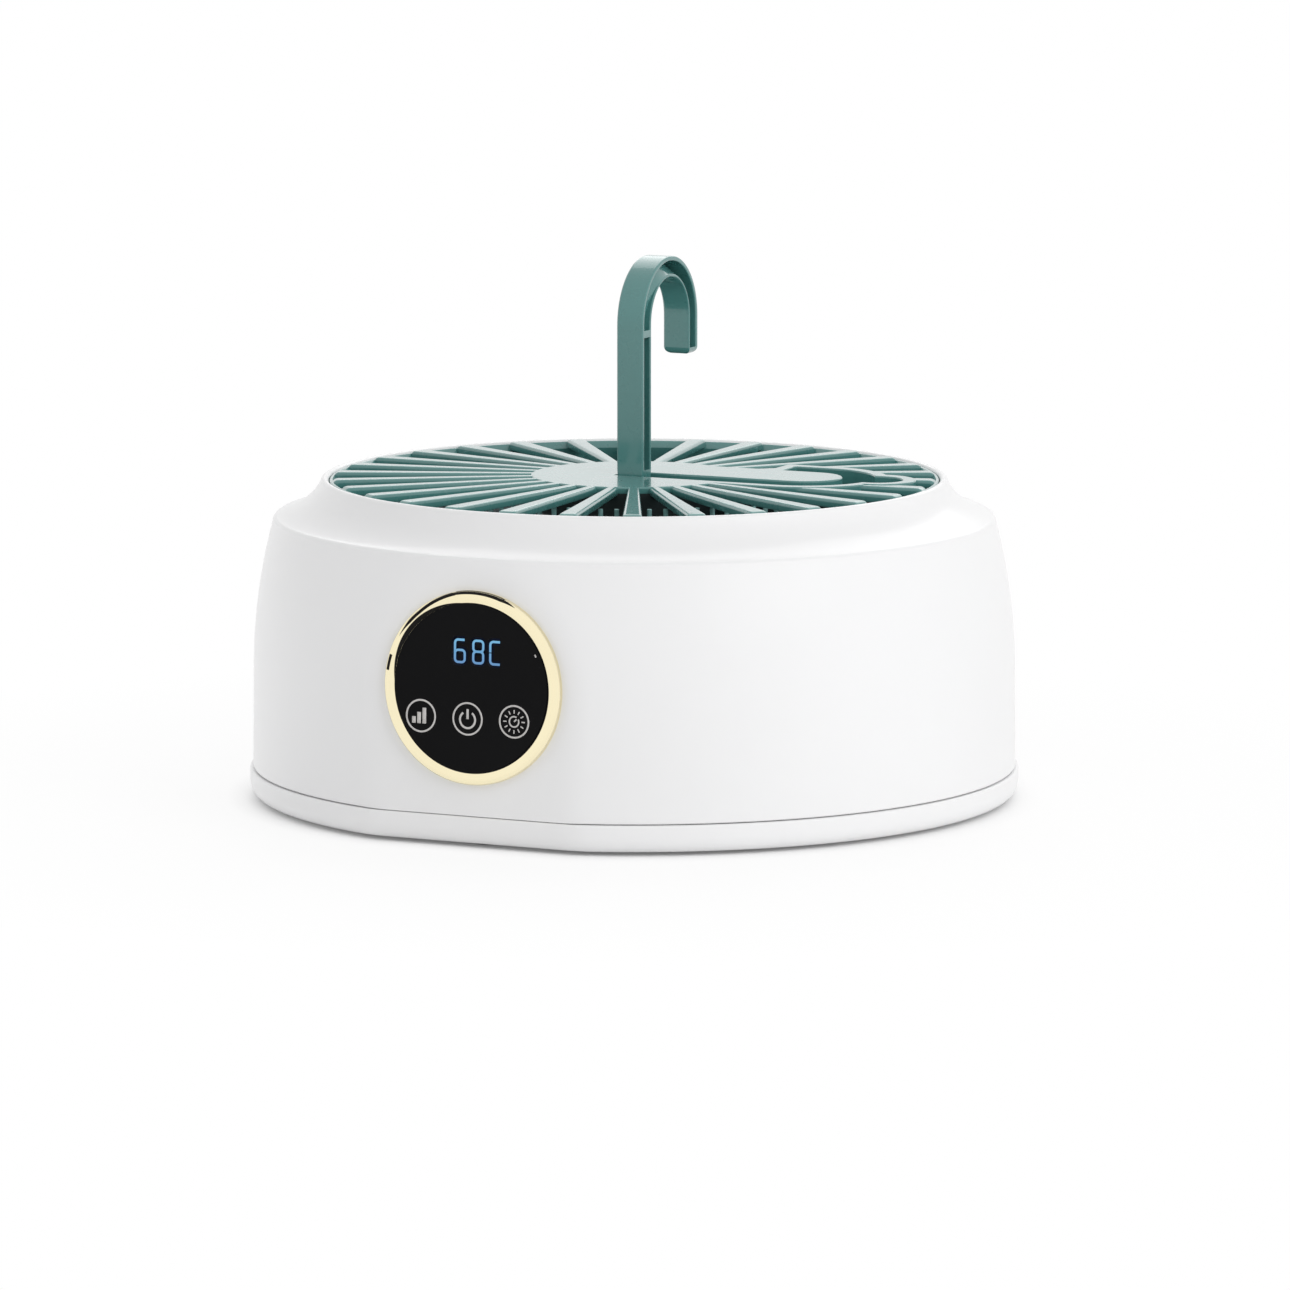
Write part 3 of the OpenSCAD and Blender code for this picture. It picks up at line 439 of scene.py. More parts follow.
def glow(name, rgb, low, high):
    """Lit segments that fade from a deeper shade at the height low to the full colour at high."""
    material, nodes, links = new_material(name)
    shader = nodes["Principled BSDF"]
    shader.inputs["Base Color"].default_value = (0.01, 0.02, 0.03, 1)
    shader.inputs["Emission Strength"].default_value = 1.0
    shader.inputs["Roughness"].default_value = 0.4
    parts = nodes.new("ShaderNodeSeparateXYZ")
    rise = nodes.new("ShaderNodeMapRange")
    rise.inputs["From Min"].default_value = low
    rise.inputs["From Max"].default_value = high
    links.new(nodes.new("ShaderNodeTexCoord").outputs["Object"], parts.inputs["Vector"])
    links.new(parts.outputs["Z"], rise.inputs["Value"])
    deeper = (rgb[0] * 0.7, rgb[1] * 0.6, rgb[2] * 0.75)
    fade(nodes, links, rise.outputs["Result"], deeper, rgb, shader.inputs["Emission Color"])
    return material


def weave(name, rgb, pitch):
    """Fine woven mesh with painted shade in the holes between crossing wires, where the view passes into the
    shaded inside.
    """
    material, nodes, links = new_material(name)
    shader = nodes["Principled BSDF"]
    shader.inputs["Roughness"].default_value = 0.7
    coordinates = nodes.new("ShaderNodeTexCoord")
    waves = []
    for across in ("X", "Y"):
        wave = nodes.new("ShaderNodeTexWave")
        wave.bands_direction = across
        wave.inputs["Scale"].default_value = math.pi / (10 * pitch)
        links.new(coordinates.outputs["Object"], wave.inputs["Vector"])
        waves.append(wave.outputs["Fac"])
    wires = combined(nodes, links, "MULTIPLY", *waves)
    # Holes darken to a quarter of the wire colour: painted shade seen through them
    fade(nodes, links, wires, rgb, [c * 0.25 for c in rgb], shader.inputs["Base Color"])
    relief(nodes, links, wires, 0.6, 0.2 * MM).invert = True
    return material


def white_plastic():
    """Gloss white of the drum and the tray."""
    rgb = bpy.context.scene.dryer_colours.white
    return finish("white_gloss", rgb, 0.3, tint=0.008, blotch=12, grain=900, bump=0.01, rough_spread=0.012,
                  Coat_Weight=0.25, Coat_Roughness=0.12)


def teal_plastic():
    """Polished grey-green of the grille and the hook."""
    rgb = bpy.context.scene.dryer_colours.teal
    return finish("teal_gloss", rgb, 0.28, tint=0.05, blotch=30, grain=1500, bump=0.012, Coat_Weight=0.8,
                  Coat_Roughness=0.07)


# ---------------------------------------------------------------- housing

# Rounding of the shoulder's crease, and the round opening behind the display
CREASE = 1.8 * MM
SIGHT_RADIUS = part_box("display_lens")[1].x + 2 * MM


def flat_distance(sizes, height, inset=0.0):
    """Distance from the axis to the display flat at a height."""
    return sizes.flat_distance - inset - (height - SEAM) * math.tan(sizes.flat_lean)


def soft_least(a, b, blend):
    """The smaller of two lengths, with a rounded change from one to the other."""
    mix = max(blend - abs(a - b), 0.0) / blend
    return min(a, b) - mix * mix * blend / 4


def drum_turns():
    """Turns round the axis, closer together across the display flat."""
    front, half, pitch, count = -90.0, 19.0, 0.4, 130
    fine = [front - half + pitch * i for i in range(int(2 * half / pitch) + 1)]
    start, end = fine[-1], fine[0] + 360
    coarse = [start + (end - start) * i / count for i in range(1, count)]
    return [math.radians(turn) for turn in fine + coarse]


def flattened_ring(name, profile, blend):
    """Ring round the axis from a profile of (radius, height, distance of the flat), cut back to the flat."""
    rows = []
    for turn in drum_turns():
        facing = math.cos(turn - FRONT_TURN)
        row = []
        for radius, height, flat in profile:
            if facing > 0.5:
                radius = soft_least(radius, flat / facing, blend)
            row.append((radius * math.cos(turn), radius * math.sin(turn), height))
        rows.append(row)
    return skinned(name, rows, wrap=True)


def wall_radius(sizes, height):
    """Radius of the white wall's outside: a slight taper, then a barrel curve to the shoulder."""
    taper = 0.009
    top = sizes.shoulder_height - 2 * MM
    barrel = (sizes.drum_radius - sizes.shoulder_radius - taper * (sizes.shoulder_height - SEAM))
    barrel /= (top - sizes.barrel_height) ** 2
    return sizes.drum_radius - taper * (height - SEAM) - barrel * max(0.0, height - sizes.barrel_height) ** 2


def neck_points(sizes):
    """Concave neck from the shoulder's crease up to the rim, as one curve with two pulls."""
    start = Vector((sizes.shoulder_radius - CREASE, sizes.shoulder_height))
    low_pull = Vector((sizes.shoulder_radius - 9 * MM, sizes.shoulder_height + 2 * MM))
    high_pull = Vector((sizes.rim_radius + 2.4 * MM, sizes.shoulder_height + 6.4 * MM))
    end = Vector((sizes.rim_radius, HOUSING_HIGH.z - sizes.rim_width / 2))
    steps, points = 14, []
    for i in range(1, steps + 1):
        t = i / steps
        point = (1 - t) ** 3 * start + 3 * t * (1 - t) ** 2 * low_pull
        points.append(tuple(point + 3 * t * t * (1 - t) * high_pull + t ** 3 * end))
    return points


def housing_profile(sizes):
    """Outside of the shell from the seam to the rim and down inside the well, then the inside wall.

    Each point is (radius, height, distance of the display flat).
    """
    bevel_in, bevel_up = 0.3 * MM, 0.35 * MM
    foot, top = SEAM + sizes.seam_gap, sizes.shoulder_height - CREASE
    heights = [foot + bevel_up + (top - foot - bevel_up) * i / 64 for i in range(65)]
    outside = [(wall_radius(sizes, foot) - bevel_in, foot)]
    outside += [(wall_radius(sizes, height), height) for height in heights]
    outside += arc((sizes.shoulder_radius - CREASE, top), CREASE, 12, 90)
    outside += neck_points(sizes)
    half = sizes.rim_width / 2
    outside += arc((sizes.rim_radius - half, HOUSING_HIGH.z - half), half, 20, 180, 12)
    shelf, rebate, rise = 2.8 * MM, 2.5 * MM, 3 * MM
    shoulder_in, shoulder_down = 6 * MM, 4.5 * MM
    ledge, well, inner = MESH_LOW.z, 98.6 * MM, sizes.rim_radius - sizes.rim_width
    inside = [(inner, ledge), (well, ledge), (well, ledge - shelf), (inner + rebate, ledge - shelf)]
    inside += [(inner + rebate, ledge + rise)]
    inside += [(sizes.shoulder_radius - shoulder_in, sizes.shoulder_height - shoulder_down)]
    inside += [(wall_radius(sizes, height) - sizes.wall, height) for height in reversed(heights[:-4])]
    inside += [(wall_radius(sizes, foot) - sizes.wall, foot)]
    profile = [(radius, height, flat_distance(sizes, height)) for radius, height in outside]
    return profile + [(radius, height, flat_distance(sizes, height, sizes.wall)) for radius, height in inside]


def fit_inlet(shell):
    """Raises a pad at the back, and cuts the mains inlet's seat and the hole behind it."""
    low, high = INLET_LOW, INLET_HIGH
    flange, gap, beyond = 1.5 * MM, 0.2 * MM, 5 * MM
    face, middle = high.y - flange, (low.z + high.z) / 2
    half, tall, deep = 15.5 * MM, 11.5 * MM, 4 * MM
    join(shell, block("pad", (-half, face - deep, middle - tall), (half, face, middle + tall)))
    seat_high = (high.x + gap, high.y + beyond, high.z + gap)
    cut(shell, block("seat", (low.x - gap, face, low.z - gap), seat_high))
    half, tall, deep = 10.15 * MM, 6.15 * MM, 12 * MM
    cut(shell, block("hole", (-half, face - deep, middle - tall), (half, face + MM, middle + tall)))


def add_post(shell, turn):
    """Screw post inside the wall, with a web to the wall and a pilot hole from below."""
    circle, radius, tall = POST_CIRCLE, 4.5 * MM, 50.4 * MM
    reach, web, web_rise = 10 * MM, 2.4 * MM, 6.6 * MM
    pilot, pilot_depth = 1.5 * MM, 16 * MM
    low = HOUSING_LOW.z
    foot = outwards(turn) * circle + RISE * low
    join(shell, rod("post", foot, foot + RISE * tall, radius, 32))
    join(shell, rib_block("web", turn, circle, circle + reach, web, low + web_rise, low + tall))
    cut(shell, rod("pilot", foot - RISE * MM, foot + RISE * pilot_depth, pilot, 24))


def add_ear(shell, turn):
    """Ear under a screw of the grille, with a root to the well's ledge and a hole for the screw."""
    radius, thick, gap, hole = 5 * MM, 2.7 * MM, 0.05 * MM, 1.7 * MM
    reach, root, hole_up = 5.5 * MM, 9.9 * MM, 4 * MM
    low, high = MESH_LOW.z - thick - gap, MESH_LOW.z - gap
    foot = outwards(turn) * EAR_CIRCLE + RISE * low
    join(shell, rod("ear", foot, foot + RISE * thick, radius, 32))
    join(shell, rib_block("root", turn, EAR_CIRCLE, EAR_CIRCLE + reach, root, low, high))
    cut(shell, rod("hole", foot - RISE * MM, foot + RISE * hole_up, hole, 24))


class DRYER_OT_housing(bpy.types.Operator):
    """Build the white drum with its display flat, neck and rolled rim"""

    bl_idname = "dryer.housing"
    bl_label = "White housing"

    def execute(self, context):
        sizes = context.scene.dryer_sizes
        shell = flattened_ring("housing_shell", housing_profile(sizes), sizes.flat_blend)
        fit_inlet(shell)
        centre, out, _ = display_axes(sizes)
        cut(shell, rod("sight", centre - out * (5 * MM), centre + out * (3 * MM), SIGHT_RADIUS))
        for i in range(SCREW_COUNT):
            add_post(shell, SCREW_PITCH * i)
            add_ear(shell, SCREW_PITCH * i + sizes.rib_phase + FRONT_TURN)
        flat_shade_fix(shell)
        place(shell, DRYER, "white_housing", white_plastic(), "upper_housing")
        return {"FINISHED"}


def tray_profile():
    """Soft band round the tray, with a rounded foot and a small bevel at the seam.

    Each point is (radius, height, distance of the display flat).
    """
    edge, low, high = TRAY_HIGH.x + 0.3 * MM, TRAY_LOW.z, SEAM
    foot_in, foot_up, thick, inside_up, lap = 4 * MM, 5 * MM, 2.5 * MM, 3 * MM, 0.02 * MM
    swings = [math.radians(-75 + 75 * i / 9) for i in range(10)]
    points = [(edge - foot_in * (1 - math.cos(swing)), low + foot_up * (1 + math.sin(swing)))
              for swing in swings]
    points += [(edge, high - 0.9 * MM), (edge - 0.12 * MM, high - 0.35 * MM), (edge - 0.5 * MM, high - lap)]
    points += [(edge - thick, high - lap), (edge - thick, low + inside_up)]
    return [(radius, height, TRAY_FRONT + radius - TRAY_HIGH.x) for radius, height in points]


class DRYER_OT_base(bpy.types.Operator):
    """Finish the base tray, its gasket and its feet"""

    bl_idname = "dryer.base"
    bl_label = "Base tray"

    def execute(self, context):
        white = white_plastic()
        band = flattened_ring("tray_band", tray_profile(), 1.6 * MM)
        place(band, DRYER, "white_housing", white)
        rubber_grain = {"tint": 0.15, "blotch": 120, "grain": 2600}
        rubber = finish("soft_rubber", (0.02, 0.02, 0.022), 0.75, bump=0.15, **rubber_grain)
        seal = finish("seam_rubber", (0.12, 0.12, 0.125), 0.75, bump=0.1, **rubber_grain)
        paint({"base_tray": white, "seam_gasket": seal, "rubber_feet": rubber})
        return {"FINISHED"}


# ---------------------------------------------------------------- grille

# Middles of the hook's bend and of the finger notch, seen from above with the hook folded
BEND = Vector((55 * MM, (HOOK_LOW.y + HOOK_HIGH.y) / 2))
NOTCH = Vector((80, 22)) * MM
NOTCH_RADIUS = 8.5 * MM
# The hook's straight tip, and the room round the folded hook: outside its bend and inside it
TIP_LENGTH = 13 * MM
OUTER_GAP, INNER_GAP = 1.5 * MM, 2.5 * MM
RECESS_OUTER, RECESS_INNER = BEND.y + HALF_THICK + OUTER_GAP, BEND.y - HALF_THICK - INNER_GAP
RECESS_FOOT, RECESS_TIP = -HALF_WIDE - 0.9 * MM, BEND.x - TIP_LENGTH - OUTER_GAP
PAN_FLOOR = HUB_TOP - 2 * HALF_WIDE - 0.3 * MM
RING_INSIDE, RING_TOP = GRILLE_HIGH.x - 2.85 * MM, 107.7 * MM


def bend_and_notch(border, steps):
    """Outside of the recess's bend with the finger notch in it, moved outwards by border."""
    outer, notch = RECESS_OUTER + border, NOTCH_RADIUS + border
    low = math.degrees(math.asin((NOTCH.y - notch - BEND.y) / outer))
    high = math.degrees(math.asin((NOTCH.y + notch - BEND.y) / outer))
    points = arc(BEND, outer, -90, low, steps)
    points += arc(NOTCH, notch, -90, 90, steps + 2)
    return points + arc(BEND, outer, high, 90, steps - 2)


def recess_outline(grow=0.0):
    """Anticlockwise outline of the J-shaped recess with its finger notch, grown outwards."""
    corner = 1.2 * MM
    outer, inner = RECESS_OUTER + grow, RECESS_INNER - grow
    left, tip = RECESS_FOOT - grow + corner, RECESS_TIP - grow + corner
    points = arc((left, BEND.y - outer + corner), corner, 180, 270, 4)
    points += bend_and_notch(grow, 12)
    points += arc((tip, BEND.y + outer - corner), corner, 90, 180, 4)
    points += arc((tip, BEND.y + inner + corner), corner, 180, 270, 4)
    points += arc(BEND, inner, 90, -90, 22)
    return points + arc((left, BEND.y - inner - corner), corner, 90, 180, 4)


def deck_outline(border, hub):
    """Anticlockwise outline of the hub, the border round the recess and the island inside the bend."""
    corner = 2.5 * MM
    outer, tip = RECESS_OUTER + border, RECESS_TIP - border
    island_top = BEND.y + RECESS_INNER
    start = math.degrees(math.asin((BEND.y - outer) / hub))
    meet = math.degrees(math.asin(min(1, island_top / hub)))
    points = bend_and_notch(border, 14)
    points += arc((tip + corner, BEND.y + outer - corner), corner, 90, 180, 5)
    points += arc((tip - corner, island_top + corner), corner, 0, -90, 5)
    return points + arc((0, 0), hub, meet, 360 + start, 60)


def rib_top(sizes, radius):
    """Height of the ribs' upper face: level with the hub, then sloping down to the ring."""
    hub = HUB_TOP - 0.05 * MM
    fall = (hub - sizes.rib_end) / (RING_INSIDE - sizes.hub_radius)
    return hub - max(0.0, radius - sizes.hub_radius) * fall


def rib_section(half, top, bottom, edge):
    """Upright section of a rib, as (sideways, height), rounded like a bar."""
    upper = min(edge, half * 0.95, (top - bottom) * 0.6)
    lower = upper * 0.55
    section = arc((half - lower, bottom + lower), lower, -90, 0, 2)
    section += arc((half - upper, top - upper), upper, 0, 90, 4)
    section += arc((-half + upper, top - upper), upper, 90, 180, 4)
    return section + arc((-half + lower, bottom + lower), lower, 180, 270, 2)


def rib_rows(sizes, turn, start, end):
    """Sections of one rib from the hub to its rounded outer end."""
    nose, slim, broad = 2.4 * MM, 3.8 * MM, 6.5 * MM
    slim_at, broad_at = 31 * MM, 101 * MM
    stations = [(start + (end - nose - start) * i / 8, 0.0) for i in range(9)]
    for i in range(1, 6):
        swing = math.pi / 2 * i / 5
        stations.append((end - nose + nose * math.sin(swing), nose * (1 - math.cos(swing))))
    along = outwards(turn)
    across = Vector((-along.y, along.x, 0))
    rows = []
    for radius, drop in stations:
        share = (radius - slim_at) / (broad_at - slim_at)
        half = (slim + (broad - slim) * share) / 2 - drop * 0.35
        top = rib_top(sizes, radius)
        section = rib_section(half, top - drop, top - sizes.rib_thickness, sizes.rib_edge)
        rows.append([along * radius + across * side + RISE * height for side, height in section])
    return rows


def tub(name, outer, inner, bottom, floor, top):
    """Open box round the recess, between the recess grown by outer and by inner."""
    bm = bmesh.new()
    outside = skin(bm, [[(x, y, z) for x, y in recess_outline(outer)] for z in (bottom, top)])
    inside = skin(bm, [[(x, y, z) for x, y in recess_outline(inner)] for z in (top, floor)])
    fill_outlines(bm, [outside[0]])
    fill_outlines(bm, [inside[1]])
    fill_outlines(bm, [outside[1], inside[0]])
    return link_mesh(name, bm)


def recess_cutter(grow, low, high):
    """Upright cutter in the outline of the recess, grown outwards."""
    return plate("recess_cut", [recess_outline(grow)], low, high, 0.1 * MM, 1)


def ring_and_ribs(sizes):
    """Outer ring joined with the radial ribs, which stop at the hook's recess."""
    outside, edge, lap = GRILLE_HIGH.x, 0.8 * MM, 0.5 * MM
    rib_start, border, lip = 32 * MM, 1.0 * MM, 2.2 * MM
    below, above = 95 * MM, 120 * MM
    bm = bmesh.new()
    for i in range(sizes.rib_count):
        turn = sizes.rib_phase + FRONT_TURN + 2 * math.pi * i / sizes.rib_count
        skin(bm, rib_rows(sizes, turn, rib_start, outside - lap), caps=True)
    ribs = link_mesh("grille_ribs", bm)
    cut(ribs, recess_cutter(border, below, above))
    profile = [(RING_INSIDE, MESH_LOW.z), (RING_INSIDE, RING_TOP - lip)]
    profile += arc((outside - edge, RING_TOP - edge), edge, 125, 0, 5) + [(outside, MESH_LOW.z)]
    return join(lathe("grille_ring", profile, 240), ribs)


def add_screw_bosses(ring, sizes):
    """Bosses for the grille's screws below the ribs, each with a web to the ring."""
    radius, web, overlap = 3.6 * MM, 3 * MM, 1.4 * MM
    low, high = MESH_LOW.z + 0.85 * MM, sizes.rib_end - 1.5 * MM
    for i in range(SCREW_COUNT):
        turn = sizes.rib_phase + FRONT_TURN + SCREW_PITCH * i
        foot = outwards(turn) * EAR_CIRCLE
        join(ring, rod("boss", foot + RISE * low, foot + RISE * high, radius, 48))
        join(ring, rib_block("boss_web", turn, EAR_CIRCLE, RING_INSIDE + overlap, web, low + 0.1 * MM, high))


def add_hinge(ring):
    """Bosses on both sides of the hook's foot and the bore for its pin."""
    radius, thick, bore, reach = 4 * MM, 2.5 * MM, 2.05 * MM, 16 * MM
    face = HALF_THICK + 1.25 * MM
    for side in (-1, 1):
        join(ring, rod("hinge_boss", (0, side * face, PIVOT), (0, side * (face + thick), PIVOT), radius, 48))
    cut(ring, rod("hinge_bore", (0, -reach, PIVOT), (0, reach, PIVOT), bore, 32))


def recess_shroud(sizes):
    """Dark box below the recess and dark skirt round the hub: painted shade that closes the view between the
    ribs, where the grille's inside lies in shadow.
    """
    hub, thick = sizes.hub_radius, 2 * MM
    outer, inner, under, border, room = 2.2 * MM, 1.5 * MM, 1.6 * MM, 1.8 * MM, 3 * MM
    low, high = MESH_LOW.z + 4.6 * MM, HUB_TOP - outer
    shroud = tub("recess_shroud", outer, inner, PAN_FLOOR - outer, PAN_FLOOR - under, high)
    skirt = lathe("skirt", [(hub - thick, low), (hub, low), (hub, high), (hub - thick, high)])
    cut(skirt, recess_cutter(border, low - room, HUB_TOP + room))
    return join(shroud, skirt)


class DRYER_OT_grille(bpy.types.Operator):
    """Build the radial ribs, the hub with the hook's recess and the outer ring"""

    bl_idname = "dryer.grille"
    bl_label = "Top grille"

    def execute(self, context):
        sizes = context.scene.dryer_sizes
        border, deck, wall, lap = 4.5 * MM, 2.5 * MM, 2 * MM, 1.5 * MM
        ring = ring_and_ribs(sizes)
        outlines = [deck_outline(border, sizes.hub_radius), recess_outline()]
        join(ring, plate("deck", outlines, HUB_TOP - deck, HUB_TOP, sizes.deck_edge))
        add_screw_bosses(ring, sizes)
        join(ring, tub("pan", wall, 0.0, PAN_FLOOR - wall, PAN_FLOOR, HUB_TOP - lap))
        add_hinge(ring)
        ring.name = "grille_top"
        flat_shade_fix(ring)
        place(ring, DRYER, "teal_plastic", teal_plastic(), "top_grille")
        # Near-black painted shade for the box and the skirt seen between the ribs
        dark = finish("painted_shade_shroud", (0.012, 0.02, 0.021), 0.55, tint=0.15, blotch=40, grain=1600,
                      bump=0.04)
        place(recess_shroud(sizes), DRYER, "dark_plastic", dark)
        return {"FINISHED"}


class DRYER_OT_filter(bpy.types.Operator):
    """Finish the dust filter below the ribs and the frame that holds it"""

    bl_idname = "dryer.filter"
    bl_label = "Dust filter"

    def execute(self, context):
        paint({
            "filter_mesh": weave("filter_weave", (0.05, 0.075, 0.078), 0.9 * MM),
            # Lighter than the grille's teal: painted highlight on the frame's pins, which stand in shade
            # between the ribs
            "filter_frame": finish("frame_teal_painted_highlight", (0.26, 0.46, 0.45), 0.35, tint=0.06, blotch=40, grain=1500,
                                   bump=0.02),
        })
        return {"FINISHED"}


# ---------------------------------------------------------------- hook

# Heights of the pocket's floor along +X: closed, as deep as the web, and shallow in the bend
CLOSED = HALF_WIDE
WEB = 2 * MM - HALF_WIDE
SHALLOW = HALF_WIDE - 2.2 * MM
HOOK_BEND = Vector((0, BEND.y, PIVOT + BEND.x))


def hook_section(floors, wide, edge):
    """Section of the hook's channel: (outwards in the hook's plane, along +X), with its pocket open to +X.

    The pocket has one floor height along its outer wall and one along its inner wall.
    """
    lip, outer_wall, inner_wall = 0.45 * MM, 1.6 * MM, 1.0 * MM
    thick = HALF_THICK
    outer, inner = thick - outer_wall, inner_wall - thick
    outline = arc((-thick + edge, -wide + edge), edge, 180, 270, 4)
    outline += arc((thick - edge, -wide + edge), edge, 270, 360, 4)
    outline += arc((thick - lip, wide - lip), lip, 0, 90, 3)
    outline += [(side, max(x, floors[0])) for side, x in arc((outer + lip, wide - lip), lip, 90, 180, 3)]
    outline += [(outer, floors[0]), (inner, floors[1])]
    outline += [(side, max(x, floors[1])) for side, x in arc((inner - lip, wide - lip), lip, 0, 90, 3)]
    return outline + arc((-thick + lip, wide - lip), lip, 90, 180, 3)


def ease(turn, start, end):
    """Smooth rise from 0 at the start to 1 at the end, in degrees."""
    share = min(1.0, max(0.0, (math.degrees(turn) - start) / (end - start)))
    return share * share * (3 - 2 * share)


def channel_row(sizes, spot, turn, floors):
    """Section of the channel across the hook's middle line, with its back a little fuller than its front."""
    out = Vector((0, math.cos(turn), math.sin(turn)))
    row = []
    for side, x in hook_section(floors, HALF_WIDE, sizes.hook_edge):
        if x < 0:
            x *= 1 + sizes.hook_back / HALF_WIDE
        row.append(tuple(spot + out * side + Vector((x, 0, 0))))
    return row


def pocket_end(height, floor, way=1):
    """Stations of (height, pocket floor) from the pocket's closed end to its full depth, up or down."""
    step, flare = 0.02 * MM, 0.3 * MM
    return [(height, CLOSED), (height + way * step, CLOSED - flare), (height + way * flare, floor)]


def foot_rows(sizes):
    """Solid round foot of the hook about its pin."""
    foot, least_tip, least_section = HALF_WIDE - 0.15 * MM, 0.03 * MM, 0.5 * MM
    rows = []
    for i in range(9):
        swing = math.pi / 2 * (1 - i / 8)
        wide = max(least_tip, foot * math.cos(swing))
        drawn = max(wide, least_section)
        section = hook_section((wide, wide), drawn, min(sizes.hook_edge, wide * 0.9))
        rows.append([(x * wide / drawn, -side, PIVOT - foot * math.sin(swing)) for side, x in section])
    return rows


def shank_rows(sizes):
    """Straight shank: a deep pocket, a bridge and the start of the bend's shallow pocket."""
    low, high = PIVOT + HALF_WIDE + 1.6 * MM, HOOK_BEND.z - 3.8 * MM
    bridge = high + 2.4 * MM
    stations = pocket_end(low, WEB) + [((low + high) / 2, WEB)]
    stations += reversed(pocket_end(high, WEB, -1))
    stations += pocket_end(bridge, SHALLOW)
    return [channel_row(sizes, RISE * height, math.pi, (floor, floor)) for height, floor in stations]


def bend_rows(sizes):
    """Bend, whose pocket has a raised floor along its inner wall and gets deep towards the tip."""
    steps, sill = 48, CLOSED - 0.25 * MM
    rows = []
    for i in range(steps + 1):
        turn = math.pi - math.pi * i / steps
        spot = HOOK_BEND + HOOK_BEND.y * Vector((0, math.cos(turn), math.sin(turn)))
        raised = ease(turn, 10, 60) * (1 - ease(turn, 115, 180))
        deep = SHALLOW + (WEB - SHALLOW) * (1 - ease(turn, 55, 125))
        rows.append(channel_row(sizes, spot, turn, (deep, deep + (sill - deep) * raised)))
    return rows


def tip_rows(sizes):
    """Straight tip with the end of the pocket, closed by a rounded end."""
    round_end = 2.2 * MM
    middle, end = 2 * HOOK_BEND.y, HOOK_BEND.z - TIP_LENGTH
    rows = []
    for height, floor in reversed(pocket_end(end + round_end + 0.1 * MM, WEB)):
        rows.append(channel_row(sizes, Vector((0, middle, height)), 0.0, (floor, floor)))
    for i in range(6):
        swing = math.pi / 2 * i / 5
        inset, height = round_end * (1 - math.cos(swing)), end + round_end * (1 - math.sin(swing))
        row = channel_row(sizes, Vector((0, middle, height)), 0.0, (CLOSED, CLOSED))
        narrow, thin = 1 - inset / HALF_WIDE, 1 - inset / HALF_THICK
        rows.append([(x * narrow, middle + (y - middle) * thin, z) for x, y, z in row])
    return rows


class DRYER_OT_hook(bpy.types.Operator):
    """Build the folding hook as one channel section swept along its J"""

    bl_idname = "dryer.hook"
    bl_label = "Folding hook"

    def execute(self, context):
        sizes = context.scene.dryer_sizes
        rows = foot_rows(sizes) + shank_rows(sizes) + bend_rows(sizes) + tip_rows(sizes)
        hook = skinned("hook_channel", rows, caps=True)
        reach, bore = 10 * MM, 2.05 * MM
        cut(hook, rod("bore", (0, -reach, PIVOT), (0, reach, PIVOT), bore))
        flat_shade_fix(hook)
        place(hook, HOOK_ARM, "teal_plastic", teal_plastic(), "hook")
        steel = finish("pin_steel", (0.5, 0.51, 0.53), 0.28, tint=0.05, blotch=60, grain=2500, bump=0.05,
                       Metallic=1.0)
        washers = finish("washer_plastic", (0.2, 0.21, 0.215), 0.5, blotch=60)
        paint({"hook_pin": steel, "hinge_washers": washers})
        return {"FINISHED"}


# ---------------------------------------------------------------- display


def display_axes(sizes):
    """Centre of the display on the flat, the direction out of it and the direction up it."""
    lean = sizes.flat_lean
    up = Vector((0, math.sin(lean), math.cos(lean)))
    out = Vector((0, -math.cos(lean), math.sin(lean)))
    return Vector((0, -sizes.flat_distance, SEAM)) + up * sizes.display_height, out, up


SAME_SPOT = 1e-9


def ribbon(bm, points, width, closed, on_lens):
    """Flat stroke of even width along a line of (u, v) points on the lens."""
    count = len(points)
    left, right = [], []
    for i, point in enumerate(points):
        before = points[i - 1] if closed or i > 0 else point
        after = points[(i + 1) % count] if closed or i < count - 1 else point
        normals = []
        for a, b in ((before, point), (point, after)):
            edge = Vector((b[0] - a[0], b[1] - a[1]))
            if edge.length > SAME_SPOT:
                edge.normalize()
                normals.append(Vector((edge.y, -edge.x)))
        both = sum(normals, Vector((0, 0)))
        scale = width / 2 / max(0.5, (1 + normals[0].dot(normals[-1])) / 2) / len(normals)
        step = both * scale
        left.append(on_lens(point[0] - step.x, point[1] - step.y))
        right.append(on_lens(point[0] + step.x, point[1] + step.y))
    lefts = [bm.verts.new(p) for p in left]
    rights = [bm.verts.new(p) for p in right]
    for i in range(count if closed else count - 1):
        j = (i + 1) % count
        bm.faces.new((lefts[i], rights[i], rights[j], lefts[j]))


def rounded_box(left, low, right, high, corner):
    """Anticlockwise outline of a box with round corners."""
    left, low, right, high = left + corner, low + corner, right - corner, high - corner
    points = []
    for number, middle in enumerate(((right, low), (right, high), (left, high), (left, low))):
        points += arc(middle, corner, 90 * number - 90, 90 * number, 4)
    return points


def thicken(obj, depth):
    """Gives a flat print a little height."""
    solid = obj.modifiers.new("height", "SOLIDIFY")
    solid.thickness = depth
    solid.offset = -1
    return obj


# Heights of the lens and of what is printed and lit on it
LENS_FACE = 1.9 * MM
HALO_LIFT, PRINT_LIFT, LIT_LIFT = 0.03 * MM, 0.05 * MM, 0.08 * MM
HALO_SPREAD = 3
DIGITS_LOW, DIGITS_HIGH = 8.4 * MM, 15.75 * MM
RING_SHIFT = 0.5 * MM
